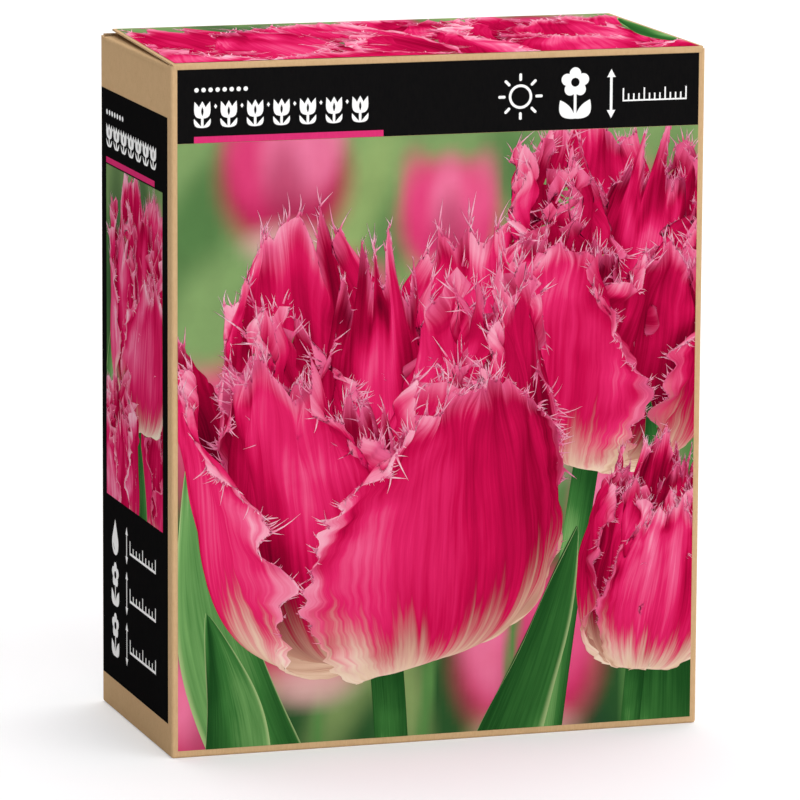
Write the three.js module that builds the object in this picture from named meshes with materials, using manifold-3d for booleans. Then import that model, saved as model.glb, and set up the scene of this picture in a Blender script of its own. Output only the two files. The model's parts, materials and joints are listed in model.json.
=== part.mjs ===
// A tuck-top folding carton of tulip bulbs, standing upright and closed.
// Millimetres, +Z up. The front panel faces -Y, and the origin is the middle of the base, on the floor.
//
// The carton is one blank of kraft boxboard, folded and glued:
//   sleeve         four walls with rounded creases, and the glue flap inside the right wall
//   bottom flaps   two dust flaps, an inner flap and an outer flap, glued on each other
//   lid            hinged on the crease at the top of the front wall
//   tuck flap      hinged on the lid's far edge, standing inside the back wall
//   dust flaps     hinged on the tops of the side walls, lying under the lid
// The bulbs lie loose inside, in layers.
import * as THREE from "three";
import { mergeVertices } from "three/addons/utils/BufferGeometryUtils.js";
import Module from "manifold-3d";

const wasm = await Module();
wasm.setup();

// Driving dimensions
const WIDTH = 152;
const DEPTH = 73;
const HEIGHT = 190;
const BOARD = 0.6; // thickness of the boxboard
const CREASE_RADIUS = 1.0; // outer radius of the wall creases
const GAP = 0.3; // running gap between folded layers
const HINGE_GAP = 0.7; // bare crease between a flap and its hinge line

// Lid and tuck flap
const LID_TILT = THREE.MathUtils.degToRad(1); // the closed lid springs up a little at the back
const LID_INSET_FRONT = 0.5; // how far the lid's sides stand in from the walls, at the hinge
const LID_INSET_BACK = 3; // and at the tuck crease
const TUCK_HEIGHT = 16;
const TUCK_LEAN = THREE.MathUtils.degToRad(12); // the tuck flap leans in from the back wall
const TUCK_INSET = 1.5; // the tuck flap is narrower than the lid's far edge, on each side
const TUCK_CORNER = 11;

// Dust flaps
const DUST_LENGTH = 42;
const DUST_SHOULDER = 2; // from the lid's hinge line to the flap's near edge, at the crease
const DUST_TAPER_END = 28.5; // the same at the flap's free end, so that it rises clear of the lid
const DUST_BACK = 2.5; // from the back wall to the flap's far edge
const DUST_CORNER = 5;

// Glue flap
const GLUE_WIDTH = 14;
const GLUE_TAPER = 6;
const GLUE_END = 4; // the glue flap stops short of the wall's top and bottom
const GLUE_BITE = 0.1; // how far the glued layer is sunk into the wall to make one solid

// Bottom flaps
const INNER_FLAP_DEPTH = 46;
const BOTTOM_DUST_LENGTH = 45;
const FLAP_CORNER = 4;

// Bulbs
const BULB_RADIUS = 17;
const BULB_LENGTH = 43;
const BULB_SIDES = 12;
const BULB_RINGS = 8;
const BULB_BELLY = 0.38; // where the bulb is widest, as a share of its length from the root plate
const BULB_PLATE = 0.3; // radius of the root plate, as a share of the bulb's
const BULB_COLUMNS = 3;
const BULB_ROWS = 2;
const BULB_LAYERS = 5;
const BULB_TURN = 0.12; // most that a bulb is turned from its slot's line, in radians
const BULB_SMALLEST = 0.93; // size of the smallest bulb, as a share of the largest
const BULB_CLEARANCE = 0.3; // left under a bulb when it comes to rest

// Levels worked out from the sizes
const HINGE_Y = -DEPTH / 2 + BOARD; // the lid's hinge line
const HINGE_Z = HEIGHT - BOARD;
const LID_LENGTH = DEPTH - 3 * BOARD - GAP; // from the hinge line to the tuck crease
const DUST_TOP = HINGE_Z - GAP; // upper face of the closed dust flaps
const DUST_HINGE_Z = DUST_TOP - BOARD;
const DUST_HINGE_X = WIDTH / 2 - BOARD; // both sides, mirrored

const KRAFT = new THREE.MeshStandardMaterial({ color: 0xc3a074, roughness: 0.8, metalness: 0 });
const KRAFT_INSIDE = new THREE.MeshStandardMaterial({ color: 0xb08d62, roughness: 0.9, metalness: 0 });
const TUNIC = new THREE.MeshStandardMaterial({ color: 0x7a4a26, roughness: 0.6, metalness: 0 });

/** A closed outline through [x, y, radius] corners, each rounded by its radius. */
function roundedOutline(corners, path = new THREE.Shape()) {
  const count = corners.length;
  corners.forEach(([x, y, radius], i) => {
    const corner = new THREE.Vector2(x, y);
    const before = new THREE.Vector2(...corners[(i + count - 1) % count]);
    const after = new THREE.Vector2(...corners[(i + 1) % count]);
    const start = before.sub(corner).setLength(radius).add(corner);
    const end = after.sub(corner).setLength(radius).add(corner);
    if (i === 0) path.moveTo(start.x, start.y);
    else path.lineTo(start.x, start.y);
    if (radius > 0) path.quadraticCurveTo(x, y, end.x, end.y);
  });
  path.closePath();
  return path;
}

function rectangle(width, depth, radius, path) {
  const x = width / 2;
  const y = depth / 2;
  return roundedOutline([[-x, -y, radius], [x, -y, radius], [x, y, radius], [-x, y, radius]], path);
}

/** A flat piece of board: the outline in XY, from z = low up by its thickness. */
function board(outline, low = 0, thickness = BOARD) {
  const flat = new THREE.ExtrudeGeometry(outline, { depth: thickness, bevelEnabled: false, curveSegments: 4 });
  return flat.translate(0, 0, low);
}

function block(x0, x1, y0, y1, z0, z1) {
  return new THREE.BoxGeometry(x1 - x0, y1 - y0, z1 - z0).translate((x0 + x1) / 2, (y0 + y1) / 2, (z0 + z1) / 2);
}

function solid(geometry) {
  const bare = geometry.clone();
  bare.deleteAttribute("normal");
  bare.deleteAttribute("uv");
  const merged = mergeVertices(bare, 1e-4);
  return new wasm.Manifold(
    new wasm.Mesh({
      numProp: 3,
      vertProperties: merged.getAttribute("position").array,
      triVerts: new Uint32Array(merged.index.array),
    }),
  );
}

function geometryOf(manifold) {
  const { vertProperties, triVerts } = manifold.getMesh();
  const made = new THREE.BufferGeometry();
  made.setAttribute("position", new THREE.BufferAttribute(vertProperties, 3));
  made.setIndex(new THREE.BufferAttribute(triVerts, 1));
  made.computeVertexNormals();
  return made;
}

function piece(name, geometry, material) {
  const mesh = new THREE.Mesh(geometry, material);
  mesh.name = name;
  return mesh;
}

/** The four walls: a ring of board, lower at the sides where the dust flaps fold, with the glue flap inside. */
function sleeve() {
  const ring = rectangle(WIDTH, DEPTH, CREASE_RADIUS);
  ring.holes.push(rectangle(WIDTH - 2 * BOARD, DEPTH - 2 * BOARD, CREASE_RADIUS - BOARD, new THREE.Path()));
  let walls = solid(board(ring, 0, HEIGHT));

  const across = WIDTH / 2 + 1;
  const flat = DEPTH / 2 - CREASE_RADIUS; // half of the flat stretch of a side wall
  const frontTop = HINGE_Z - 0.05;
  const sideTop = DUST_HINGE_Z - 0.05;
  const cuts = [
    block(-across, across, -DEPTH, 0, frontTop, HEIGHT + 1),
    block(-across, across, 0, DEPTH, HEIGHT - BOARD / 2, HEIGHT + 1),
    block(-across, -WIDTH / 2 + CREASE_RADIUS, -flat, flat, sideTop, HEIGHT + 1),
    block(WIDTH / 2 - CREASE_RADIUS, across, -flat, flat, sideTop, HEIGHT + 1),
  ];
  for (const cut of cuts) walls = walls.subtract(solid(cut));
  return piece("sleeve", geometryOf(walls.add(solid(glueFlap()))), KRAFT);
}

/** The strip that turns in from the back wall and is glued to the inside of the right wall. */
function glueFlap() {
  const high = HEIGHT - 3 * GLUE_END;
  const tapered = roundedOutline([
    [0, 0, 0],
    [GLUE_WIDTH, GLUE_TAPER, 1],
    [GLUE_WIDTH, high - GLUE_TAPER, 1],
    [0, high, 0],
  ]);
  const strip = board(tapered, 0, BOARD + GLUE_BITE);
  strip.applyMatrix4(new THREE.Matrix4().makeBasis(
    new THREE.Vector3(0, -1, 0),
    new THREE.Vector3(0, 0, 1),
    new THREE.Vector3(-1, 0, 0),
  ));
  return strip.translate(WIDTH / 2 - BOARD + GLUE_BITE, DEPTH / 2 - BOARD + GLUE_BITE, GLUE_END);
}

/** The glued base: the outer flap lowest, the inner flap on it, and the two dust flaps on top. */
function bottomFlaps() {
  const x = WIDTH / 2 - BOARD - GAP;
  const y = DEPTH / 2 - BOARD - GAP;
  const outer = rectangle(2 * x, 2 * y, FLAP_CORNER / 2);
  const inner = roundedOutline([
    [-x, -y, 0.5],
    [x, -y, 0.5],
    [x, -y + INNER_FLAP_DEPTH, FLAP_CORNER],
    [-x, -y + INNER_FLAP_DEPTH, FLAP_CORNER],
  ]);
  const dust = (side) => roundedOutline([
    [side * x, -side * y, 0.5],
    [side * x, side * y, 0.5],
    [side * (x - BOTTOM_DUST_LENGTH), side * (y - FLAP_CORNER), FLAP_CORNER],
    [side * (x - BOTTOM_DUST_LENGTH), -side * (y - FLAP_CORNER), FLAP_CORNER],
  ]);
  return [
    piece("bottom_outer_flap", board(outer), KRAFT),
    piece("bottom_inner_flap", board(inner, BOARD), KRAFT),
    piece("bottom_dust_flap_left", board(dust(-1), 2 * BOARD), KRAFT_INSIDE),
    piece("bottom_dust_flap_right", board(dust(1), 2 * BOARD), KRAFT_INSIDE),
  ];
}

/** The lid on its hinge line, with the tuck flap on the lid's far edge. */
function lid() {
  const front = WIDTH / 2 - LID_INSET_FRONT;
  const back = WIDTH / 2 - LID_INSET_BACK;
  const panel = roundedOutline([
    [-front, HINGE_GAP, 0.3],
    [front, HINGE_GAP, 0.3],
    [back, LID_LENGTH, 0.8],
    [-back, LID_LENGTH, 0.8],
  ]);
  const half = back - TUCK_INSET;
  const flap = roundedOutline([
    [-half, -TUCK_HEIGHT, TUCK_CORNER],
    [half, -TUCK_HEIGHT, TUCK_CORNER],
    [half, -GAP, 0.5],
    [-half, -GAP, 0.5],
  ]);
  const tuck = new THREE.Group();
  tuck.position.set(0, LID_LENGTH, 0);
  tuck.rotation.x = -LID_TILT - TUCK_LEAN;
  tuck.add(piece("tuck_flap", board(flap).rotateX(Math.PI / 2).translate(0, BOARD, 0), KRAFT));

  const hinged = new THREE.Group();
  hinged.position.set(0, HINGE_Y, HINGE_Z);
  hinged.rotation.x = LID_TILT;
  hinged.add(piece("lid_panel", board(panel), KRAFT), tuck);
  return hinged;
}

/** A dust flap, closed under the lid: side is -1 for the left one and 1 for the right one. */
function dustFlap(side) {
  const near = HINGE_Y + DUST_SHOULDER;
  const taperEnd = HINGE_Y + DUST_TAPER_END;
  const far = DEPTH / 2 - BOARD - DUST_BACK;
  const crease = side * (DUST_HINGE_X - HINGE_GAP);
  const end = side * (DUST_HINGE_X - DUST_LENGTH);
  const corners = [
    [crease, near, 0.5],
    [crease, far, 0.5],
    [end, far, DUST_CORNER],
    [end, taperEnd, DUST_CORNER],
  ];
  const outline = roundedOutline(side < 0 ? corners.reverse() : corners);
  return piece(side < 0 ? "dust_flap_left" : "dust_flap_right", board(outline, DUST_HINGE_Z), KRAFT_INSIDE);
}

/** Seeded random numbers from 0 to 1. */
function randomNumbers(seed) {
  let state = seed;
  return () => {
    state = (state * 1664525 + 1013904223) % 4294967296;
    return state / 4294967296;
  };
}

/** A bulb: round below its belly, drawn out to a point above, its axis along +X with the root plate at -X. */
function bulb(scale) {
  const profile = [new THREE.Vector2(0, 0)];
  for (let i = 0; i < BULB_RINGS; i++) {
    const along = i / BULB_RINGS;
    const below = BULB_PLATE + (1 - BULB_PLATE) * Math.sin((along / BULB_BELLY) * (Math.PI / 2));
    const above = Math.cos(((along - BULB_BELLY) / (1 - BULB_BELLY)) * (Math.PI / 2)) ** 0.9;
    profile.push(new THREE.Vector2(BULB_RADIUS * (along < BULB_BELLY ? below : above), along * BULB_LENGTH));
  }
  profile.push(new THREE.Vector2(0, BULB_LENGTH));
  const made = new THREE.LatheGeometry(profile, BULB_SIDES);
  made.translate(0, -BULB_LENGTH / 2, 0).rotateZ(-Math.PI / 2);
  return made.scale(scale, scale, scale);
}

/** The bulbs, laid in rows by layer and each let down until it rests on the floor or on the bulbs below. */
function bulbs(floor) {
  const random = randomNumbers(11);
  const slotX = (WIDTH - 2 * BOARD) / BULB_COLUMNS;
  const slotY = (DEPTH - 2 * BOARD) / BULB_ROWS;
  const made = [];
  let below = floor;
  for (let layer = 0; layer < BULB_LAYERS; layer++) {
    const placed = [];
    for (let slot = 0; slot < BULB_COLUMNS * BULB_ROWS; slot++) {
      const column = slot % BULB_COLUMNS;
      const row = Math.floor(slot / BULB_COLUMNS);
      const turned = (layer + column + row) % 2 ? Math.PI : 0;
      const geometry = bulb(BULB_SMALLEST + (1 - BULB_SMALLEST) * random());
      geometry.rotateX(random() * Math.PI);
      geometry.rotateY((random() - 0.5) * 2 * BULB_TURN);
      geometry.rotateZ(turned + (random() - 0.5) * 2 * BULB_TURN);
      const x = (column + 0.5) * slotX - (BULB_COLUMNS * slotX) / 2;
      const y = (row + 0.5) * slotY - (BULB_ROWS * slotY) / 2;
      geometry.translate(x, y, (layer + 1) * 2.2 * BULB_RADIUS);
      geometry.translate(0, 0, -fallOf(solid(geometry), below));
      placed.push(solid(geometry));
      const name = `bulb_${String(made.length + 1).padStart(2, "0")}`;
      made.push(piece(name, geometry, TUNIC));
    }
    below = below.add(wasm.Manifold.union(placed));
  }
  return made;
}

/** How far a solid can come straight down until it is within the clearance of what lies below. */
function fallOf(falling, below) {
  let fall = 0;
  for (let step = 0; step < 60; step++) {
    const room = falling.translate([0, 0, -fall]).minGap(below, 2 * BULB_RADIUS) - BULB_CLEARANCE;
    if (room < 0.02) break;
    fall += room;
  }
  return fall;
}

const base = bottomFlaps();
const floor = wasm.Manifold.union(base.map((flap) => solid(flap.geometry)));

const root = new THREE.Group();
root.add(sleeve(), ...base, lid(), dustFlap(-1), dustFlap(1), ...bulbs(floor));

export default root;
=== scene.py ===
"""A printed kraft carton of tulip bulbs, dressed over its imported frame.

The walls, the lid and the flaps are bent sheets of kraft board. Each print is a stack of thin layers of ink:
flat inks for the panels and pictograms, and a garden picture whose blooms are modelled in the round, lit, and
pressed flat. Everything is in metres in the frame's own axes: +Z is up, and the front panel faces -Y.
"""

from __future__ import annotations

import json
import logging
import math
from collections.abc import Iterable, Sequence
from dataclasses import dataclass, field, replace
from enum import Enum
from functools import cache

import bmesh
import bpy
import numpy as np
from mathutils import Matrix, Vector
from mathutils.bvhtree import BVHTree
from mathutils.geometry import delaunay_2d_cdt

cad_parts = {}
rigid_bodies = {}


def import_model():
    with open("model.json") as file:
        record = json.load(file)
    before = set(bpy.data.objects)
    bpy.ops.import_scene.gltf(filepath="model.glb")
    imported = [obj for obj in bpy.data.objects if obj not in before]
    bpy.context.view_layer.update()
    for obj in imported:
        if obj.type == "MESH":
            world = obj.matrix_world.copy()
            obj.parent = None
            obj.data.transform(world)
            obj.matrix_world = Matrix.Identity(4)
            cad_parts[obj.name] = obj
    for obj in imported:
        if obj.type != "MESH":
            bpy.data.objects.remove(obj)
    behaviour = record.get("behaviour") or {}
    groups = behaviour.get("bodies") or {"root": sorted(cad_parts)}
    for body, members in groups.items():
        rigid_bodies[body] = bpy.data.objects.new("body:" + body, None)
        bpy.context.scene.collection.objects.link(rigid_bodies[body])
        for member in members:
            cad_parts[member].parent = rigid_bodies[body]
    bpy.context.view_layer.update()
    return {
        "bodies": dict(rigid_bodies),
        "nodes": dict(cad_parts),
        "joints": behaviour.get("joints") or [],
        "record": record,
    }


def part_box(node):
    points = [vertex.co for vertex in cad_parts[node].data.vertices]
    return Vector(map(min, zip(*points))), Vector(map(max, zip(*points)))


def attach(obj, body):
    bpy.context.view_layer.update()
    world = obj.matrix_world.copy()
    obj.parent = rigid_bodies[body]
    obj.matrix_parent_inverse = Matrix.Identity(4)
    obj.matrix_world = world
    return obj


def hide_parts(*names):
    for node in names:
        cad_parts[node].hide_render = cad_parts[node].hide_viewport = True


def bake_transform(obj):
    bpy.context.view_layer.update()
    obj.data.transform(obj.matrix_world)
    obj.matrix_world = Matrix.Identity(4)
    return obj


MM = 0.001
TINY = 1e-9
log = logging.getLogger("carton")

Colour = tuple[float, float, float]
Pair = tuple[float, float]
Place = tuple[float, float, float]
Frame = tuple[float, float, float, float]
Array = np.ndarray
Mesh = bpy.types.Mesh
Piece = bpy.types.Object
Material = bpy.types.Material
Node = bpy.types.Node
Socket = bpy.types.NodeSocket
Tree = bpy.types.NodeTree
Feed = Socket | float | tuple


# ---- colours and small maths


def tone(red: float, green: float, blue: float) -> Colour:
    """The linear colour for the red, green and blue, from 0 to 255, that a screen shows."""
    shares = (value / 255 for value in (red, green, blue))
    return tuple(s / 12.92 if s <= 0.04045 else ((s + 0.055) / 1.055) ** 2.4 for s in shares)


def turned(degrees: float) -> Pair:
    """The cosine and the sine of an angle in degrees."""
    return math.cos(math.radians(degrees)), math.sin(math.radians(degrees))


def unit(rows: Array) -> Array:
    """The same directions at unit length."""
    return rows / np.maximum(np.linalg.norm(rows, axis=-1, keepdims=True), TINY)


def smooth_step(value: Array, low: float, high: float) -> Array:
    """A soft step from 0 at low to 1 at high."""
    share = np.clip((value - low) / (high - low), 0, 1)
    return share * share * (3 - 2 * share)


@dataclass(frozen=True)
class Ripple:
    """Smooth seeded noise: a sum of sine waves in random directions."""

    seed: int
    waves: int = 6
    finest: float = 3.0

    def at(self, *axes: Array) -> Array:
        """The noise at the given coordinates.

        Args:
            axes: One array for each axis, all of one shape.

        Returns:
            Numbers of that shape, mostly from -1 to 1.
        """
        random = np.random.default_rng(self.seed)
        total = np.zeros_like(axes[0], dtype=float)
        for _ in range(self.waves):
            wave = random.uniform(0.6, self.finest, len(axes)) * random.choice((-1, 1), len(axes))
            phase = random.uniform(0, 2 * math.pi)
            total += np.sin(sum(k * a for k, a in zip(wave, axes)) * 2 * math.pi + phase)
        return total / math.sqrt(self.waves)


# ---- meshes


def link(data: bpy.types.ID) -> Piece:
    """A new object at the origin for a mesh, a light or a camera, of the same name, linked to the scene."""
    made = bpy.data.objects.new(data.name, data)
    bpy.context.scene.collection.objects.link(made)
    return made


def plain_mesh(name: str, points: Array, faces: Iterable[Sequence[int]]) -> Mesh:
    """A mesh from points and faces.

    Args:
        name: The mesh's name.
        points: Rows of three numbers.
        faces: The vertex numbers of each face.

    Returns:
        The mesh, smooth shaded.
    """
    mesh = bpy.data.meshes.new(name)
    mesh.from_pydata([tuple(p) for p in points], [], [tuple(map(int, f)) for f in faces])
    mesh.polygons.foreach_set("use_smooth", [True] * len(mesh.polygons))
    mesh.update()
    return mesh


def grid_faces(rows: int, columns: int, wrap: bool = False) -> Array:
    """The quads of a grid of vertices that is stored row by row.

    Args:
        rows: Rows of vertices.
        columns: Vertices in a row.
        wrap: Whether the last column joins the first.

    Returns:
        Four vertex numbers for each quad.
    """
    index = np.arange(rows * columns).reshape(rows, columns)
    if wrap:
        index = np.hstack([index, index[:, :1]])
    return np.stack([index[:-1, :-1], index[:-1, 1:], index[1:, 1:], index[1:, :-1]], -1).reshape(-1, 4)


def band(ring: Sequence[int], count: int) -> list[tuple[int, ...]]:
    """The quads that join a closed ring of vertices to the like ring that lies count vertices further on."""
    return [(a, b, b + count, a + count) for a, b in zip(ring, [*ring[1:], ring[0]])]


def turn_outwards(mesh: Mesh) -> None:
    """Points every face of a closed mesh outwards."""
    work = bmesh.new()
    work.from_mesh(mesh)
    bmesh.ops.recalc_face_normals(work, faces=work.faces)
    work.to_mesh(mesh)
    work.free()


def points_of(mesh: Mesh) -> Array:
    """The mesh's vertices, one row of three numbers each."""
    flat = np.zeros(len(mesh.vertices) * 3, np.float32)
    mesh.vertices.foreach_get("co", flat)
    return flat.reshape(-1, 3).astype(float)


def corners_of(mesh: Mesh) -> Array:
    """The vertex number of each corner of each face."""
    corners = np.zeros(len(mesh.loops), np.int32)
    mesh.loops.foreach_get("vertex_index", corners)
    return corners


def set_values(mesh: Mesh, name: str, values: Array, kind: str = "FLOAT") -> None:
    """Stores a value for each vertex.

    Args:
        mesh: The mesh.
        name: The attribute's name.
        values: One number for each vertex, or a row of them.
        kind: The attribute's type: a number, a colour or a vector.
    """
    key = {"FLOAT": "value", "FLOAT_COLOR": "color", "FLOAT_VECTOR": "vector"}[kind]
    made = mesh.attributes.new(name, kind, "POINT")
    made.data.foreach_set(key, values.astype(np.float32).ravel())


def set_map(mesh: Mesh, name: str, flat: Array) -> None:
    """Gives a mesh a map of its own, from right and up for each vertex."""
    values = flat[corners_of(mesh)].astype(np.float32)
    mesh.uv_layers.new(name=name).data.foreach_set("uv", values.ravel())


def bake_map(mesh: Mesh) -> None:
    """Gives a print that lies in its own plane the map that is baked: its extent, with a small margin."""
    flat = points_of(mesh)[:, :2]
    low, high = flat.min(0), flat.max(0)
    set_map(mesh, "OFBake", 0.01 + 0.98 * (flat - low) / np.maximum(high - low, TINY))


def dress(made: Piece, body: str, node: str = "") -> None:
    """Puts a finished piece on its body.

    Args:
        made: The piece.
        body: The body it rides on.
        node: The frame's node that it replaces, if any.
    """
    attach(made, body)
    if node:
        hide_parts(node)


# ---- shader building


class NodeSheet:
    """A short way to write a node tree: each call adds a node and gives back its output."""

    def __init__(self, tree: Tree) -> None:
        """Starts on a node tree."""
        self.tree = tree

    def add(self, kind: str, inputs: dict | None = None, **settings: object) -> Node:
        """Adds a node.

        Args:
            kind: The node's type.
            inputs: What feeds its inputs, by name or number.
            settings: The node's own properties.

        Returns:
            The node.
        """
        node = self.tree.nodes.new(kind)
        for key, value in settings.items():
            setattr(node, key, value)
        for key, value in (inputs or {}).items():
            self.feed(node.inputs[key], value)
        return node

    def feed(self, socket: Socket, value: Feed) -> None:
        """Links an output to an input, or sets the input to a plain value."""
        if isinstance(value, Socket):
            self.tree.links.new(value, socket)
        elif isinstance(value, tuple) and len(value) == 3 and socket.type == "RGBA":
            socket.default_value = (*value, 1)
        else:
            socket.default_value = value

    def maths(self, operation: str, *values: Feed) -> Socket:
        """Adds a Math node and gives its result."""
        return self.add("ShaderNodeMath", dict(enumerate(values)), operation=operation).outputs[0]

    def total(self, *terms: tuple, base: float = 0.0) -> Socket:
        """Adds up outputs, each times its weight, from a base on."""
        made = base
        for value, weight in terms:
            part = value if weight == 1 else self.maths("MULTIPLY", value, weight)
            made = self.maths("ADD", part, made) if made != 0 else part
        return made

    def span(self, value: Feed, low: Feed, high: Feed, to_low: Feed = 0.0, to_high: Feed = 1.0) -> Socket:
        """Adds a soft-stepped Map Range node and gives its result."""
        inputs = {"Value": value, "From Min": low, "From Max": high, "To Min": to_low, "To Max": to_high}
        return self.add("ShaderNodeMapRange", inputs, interpolation_type="SMOOTHSTEP").outputs["Result"]

    def mix(self, share: Feed, first: Feed, second: Feed, blend: str = "MIX") -> Socket:
        """Adds a colour Mix node and gives its result."""
        inputs = {0: share, 6: first, 7: second}
        return self.add("ShaderNodeMix", inputs, data_type="RGBA", blend_type=blend).outputs[2]

    def ramp(self, value: Socket, *stops: tuple[float, float, float, float]) -> Socket:
        """Adds a colour ramp and gives its colour.

        Args:
            value: What drives the ramp.
            stops: A place from 0 to 1, and the red, green and blue there that a screen shows.

        Returns:
            The colour output.
        """
        node = self.add("ShaderNodeValToRGB", {"Fac": value})
        elements = node.color_ramp.elements
        while len(elements) < len(stops):
            elements.new(0.5)
        for element, (place, *shown) in zip(elements, stops):
            element.position = place
            element.color = (*tone(*shown), 1)
        return node.outputs["Color"]

    def noise(
        self, where: Socket, scale: float, detail: float, rough: float, stretch: Place | None = None
    ) -> Socket:
        """Adds a Noise texture, over a stretched place if asked, and gives its value."""
        if stretch:
            where = self.add("ShaderNodeMapping", {"Vector": where, "Scale": stretch}).outputs["Vector"]
        inputs = {"Vector": where, "Scale": scale, "Detail": detail, "Roughness": rough}
        return self.add("ShaderNodeTexNoise", inputs).outputs["Fac"]

    def attribute(self, name: str, output: str = "Fac") -> Socket:
        """Adds an Attribute node and gives its number, or its colour."""
        return self.add("ShaderNodeAttribute", attribute_name=name).outputs[output]


class MaterialSheet(NodeSheet):
    """A sheet on a new material, whose Principled BSDF takes the result."""

    def __init__(self, name: str) -> None:
        """Makes the material."""
        self.material = bpy.data.materials.new(name)
        self.material.use_nodes = True
        super().__init__(self.material.node_tree)
        self.shader = self.tree.nodes["Principled BSDF"]

    def place(self) -> Socket:
        """The point in the object's own coordinates, which are the frame's."""
        return self.add("ShaderNodeTexCoord").outputs["Object"]

    def own_map(self, name: str) -> Socket:
        """The point in one of the piece's own maps."""
        return self.add("ShaderNodeUVMap", uv_map=name).outputs["UV"]

    def effect(self, tree: Tree, where: Socket, setting: float = 1.0) -> bpy.types.NodeOutputs:
        """Adds a shared effect, at a place and with its one setting, and gives its outputs."""
        return self.add("ShaderNodeGroup", {0: where, 1: setting}, node_tree=tree).outputs

    def coat(self, colour: Feed, rough: Feed, specular: float | None = None) -> None:
        """Feeds the shader.

        Args:
            colour: The base colour.
            rough: The roughness.
            specular: The strength of the gloss, if not the usual one.
        """
        self.feed(self.shader.inputs["Base Color"], colour)
        self.feed(self.shader.inputs["Roughness"], rough)
        if specular is not None:
            self.shader.inputs["Specular IOR Level"].default_value = specular

    def bump(self, height: Socket, strength: float, distance: float) -> None:
        """Feeds the shader's normal from a height."""
        node = self.add("ShaderNodeBump", {"Height": height, "Strength": strength, "Distance": distance})
        self.feed(self.shader.inputs["Normal"], node.outputs["Normal"])


def new_group(name: str, setting: str, *outputs: str) -> tuple[NodeSheet, Socket, Node]:
    """Starts a shader node group that reads a point, and a number by which it scales the point.

    Args:
        name: The group's name.
        setting: The number's name.
        outputs: The outputs' names, all numbers.

    Returns:
        A sheet to write on, the scaled point, and the output node.
    """
    tree = bpy.data.node_groups.new(name, "ShaderNodeTree")
    tree.interface.new_socket(name="Vector", in_out="INPUT", socket_type="NodeSocketVector")
    scale = tree.interface.new_socket(name=setting, in_out="INPUT", socket_type="NodeSocketFloat")
    scale.default_value = 1.0
    for key in outputs:
        tree.interface.new_socket(name=key, in_out="OUTPUT", socket_type="NodeSocketFloat")
    sheet = NodeSheet(tree)
    inside, outside = sheet.add("NodeGroupInput"), sheet.add("NodeGroupOutput")
    inputs = {0: inside.outputs["Vector"], "Scale": inside.outputs[setting]}
    return sheet, sheet.add("ShaderNodeVectorMath", inputs, operation="SCALE").outputs[0], outside


@cache
def board_fibre() -> Tree:
    """Kraft fibres: a tint, sparse flecks and a height, from a point in the object's coordinates."""
    sheet, where, end = new_group("board_fibre", "Grain", "Tint", "Fleck", "Height")
    fibres = sheet.noise(where, 2600, 4, 0.6, (1, 1, 0.22))
    clouds = sheet.noise(where, 260, 4, 0.6)
    across = sheet.noise(where, 3400, 2, 0.5, (0.3, 0.3, 1))
    sheet.feed(end.inputs["Tint"], sheet.total((fibres, 0.7), (clouds, 0.3)))
    sheet.feed(end.inputs["Fleck"], sheet.span(across, 0.66, 0.74))
    sheet.feed(end.inputs["Height"], sheet.total((fibres, 1), (across, 0.5)))
    return sheet.tree


@cache
def petal_streaks() -> Tree:
    """Fine veins that run from a petal's foot to its tip, from the petal's own map."""
    sheet, where, end = new_group("petal_streaks", "Fineness", "Broad", "Fine")
    sheet.feed(end.inputs["Broad"], sheet.noise(where, 1.0, 4, 0.6, (9, 0.9, 1)))
    sheet.feed(end.inputs["Fine"], sheet.noise(where, 1.0, 3, 0.6, (46, 2.2, 1)))
    return sheet.tree


# ---- finishes


@dataclass(frozen=True)
class KraftBoard:
    """Uncoated brown kraft board, with long fibres, small flecks and a faint tooth."""

    name: str
    pale: Colour
    deep: Colour
    fleck: Colour
    roughness: float = 0.78
    grain: float = 1.0

    def material(self) -> Material:
        """Builds the material."""
        sheet = MaterialSheet(self.name)
        fibre = sheet.effect(board_fibre(), sheet.place(), self.grain)
        colour = sheet.mix(sheet.span(fibre["Tint"], 0.32, 0.68), self.deep, self.pale)
        flecked = sheet.mix(sheet.maths("MULTIPLY", fibre["Fleck"], 0.45), colour, self.fleck)
        rough = sheet.span(fibre["Tint"], 0.3, 0.7, self.roughness - 0.06, self.roughness + 0.06)
        sheet.coat(flecked, rough, 0.01)
        sheet.bump(fibre["Height"], 0.14, 0.04 * MM)
        return sheet.material


@dataclass(frozen=True)
class FlatInk:
    """A solid matt ink printed on the board: the board's tooth shows through it a little."""

    name: str
    colour: Colour
    thin: Colour
    roughness: float = 0.6

    def material(self) -> Material:
        """Builds the material."""
        sheet = MaterialSheet(self.name)
        fibre = sheet.effect(board_fibre(), sheet.place())
        colour = sheet.mix(sheet.span(fibre["Tint"], 0.35, 0.75), self.thin, self.colour)
        rough = sheet.span(fibre["Height"], 0.4, 1.1, self.roughness + 0.08, self.roughness - 0.04)
        sheet.coat(colour, rough, 0.0)
        sheet.bump(fibre["Height"], 0.08, 0.03 * MM)
        return sheet.material


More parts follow.
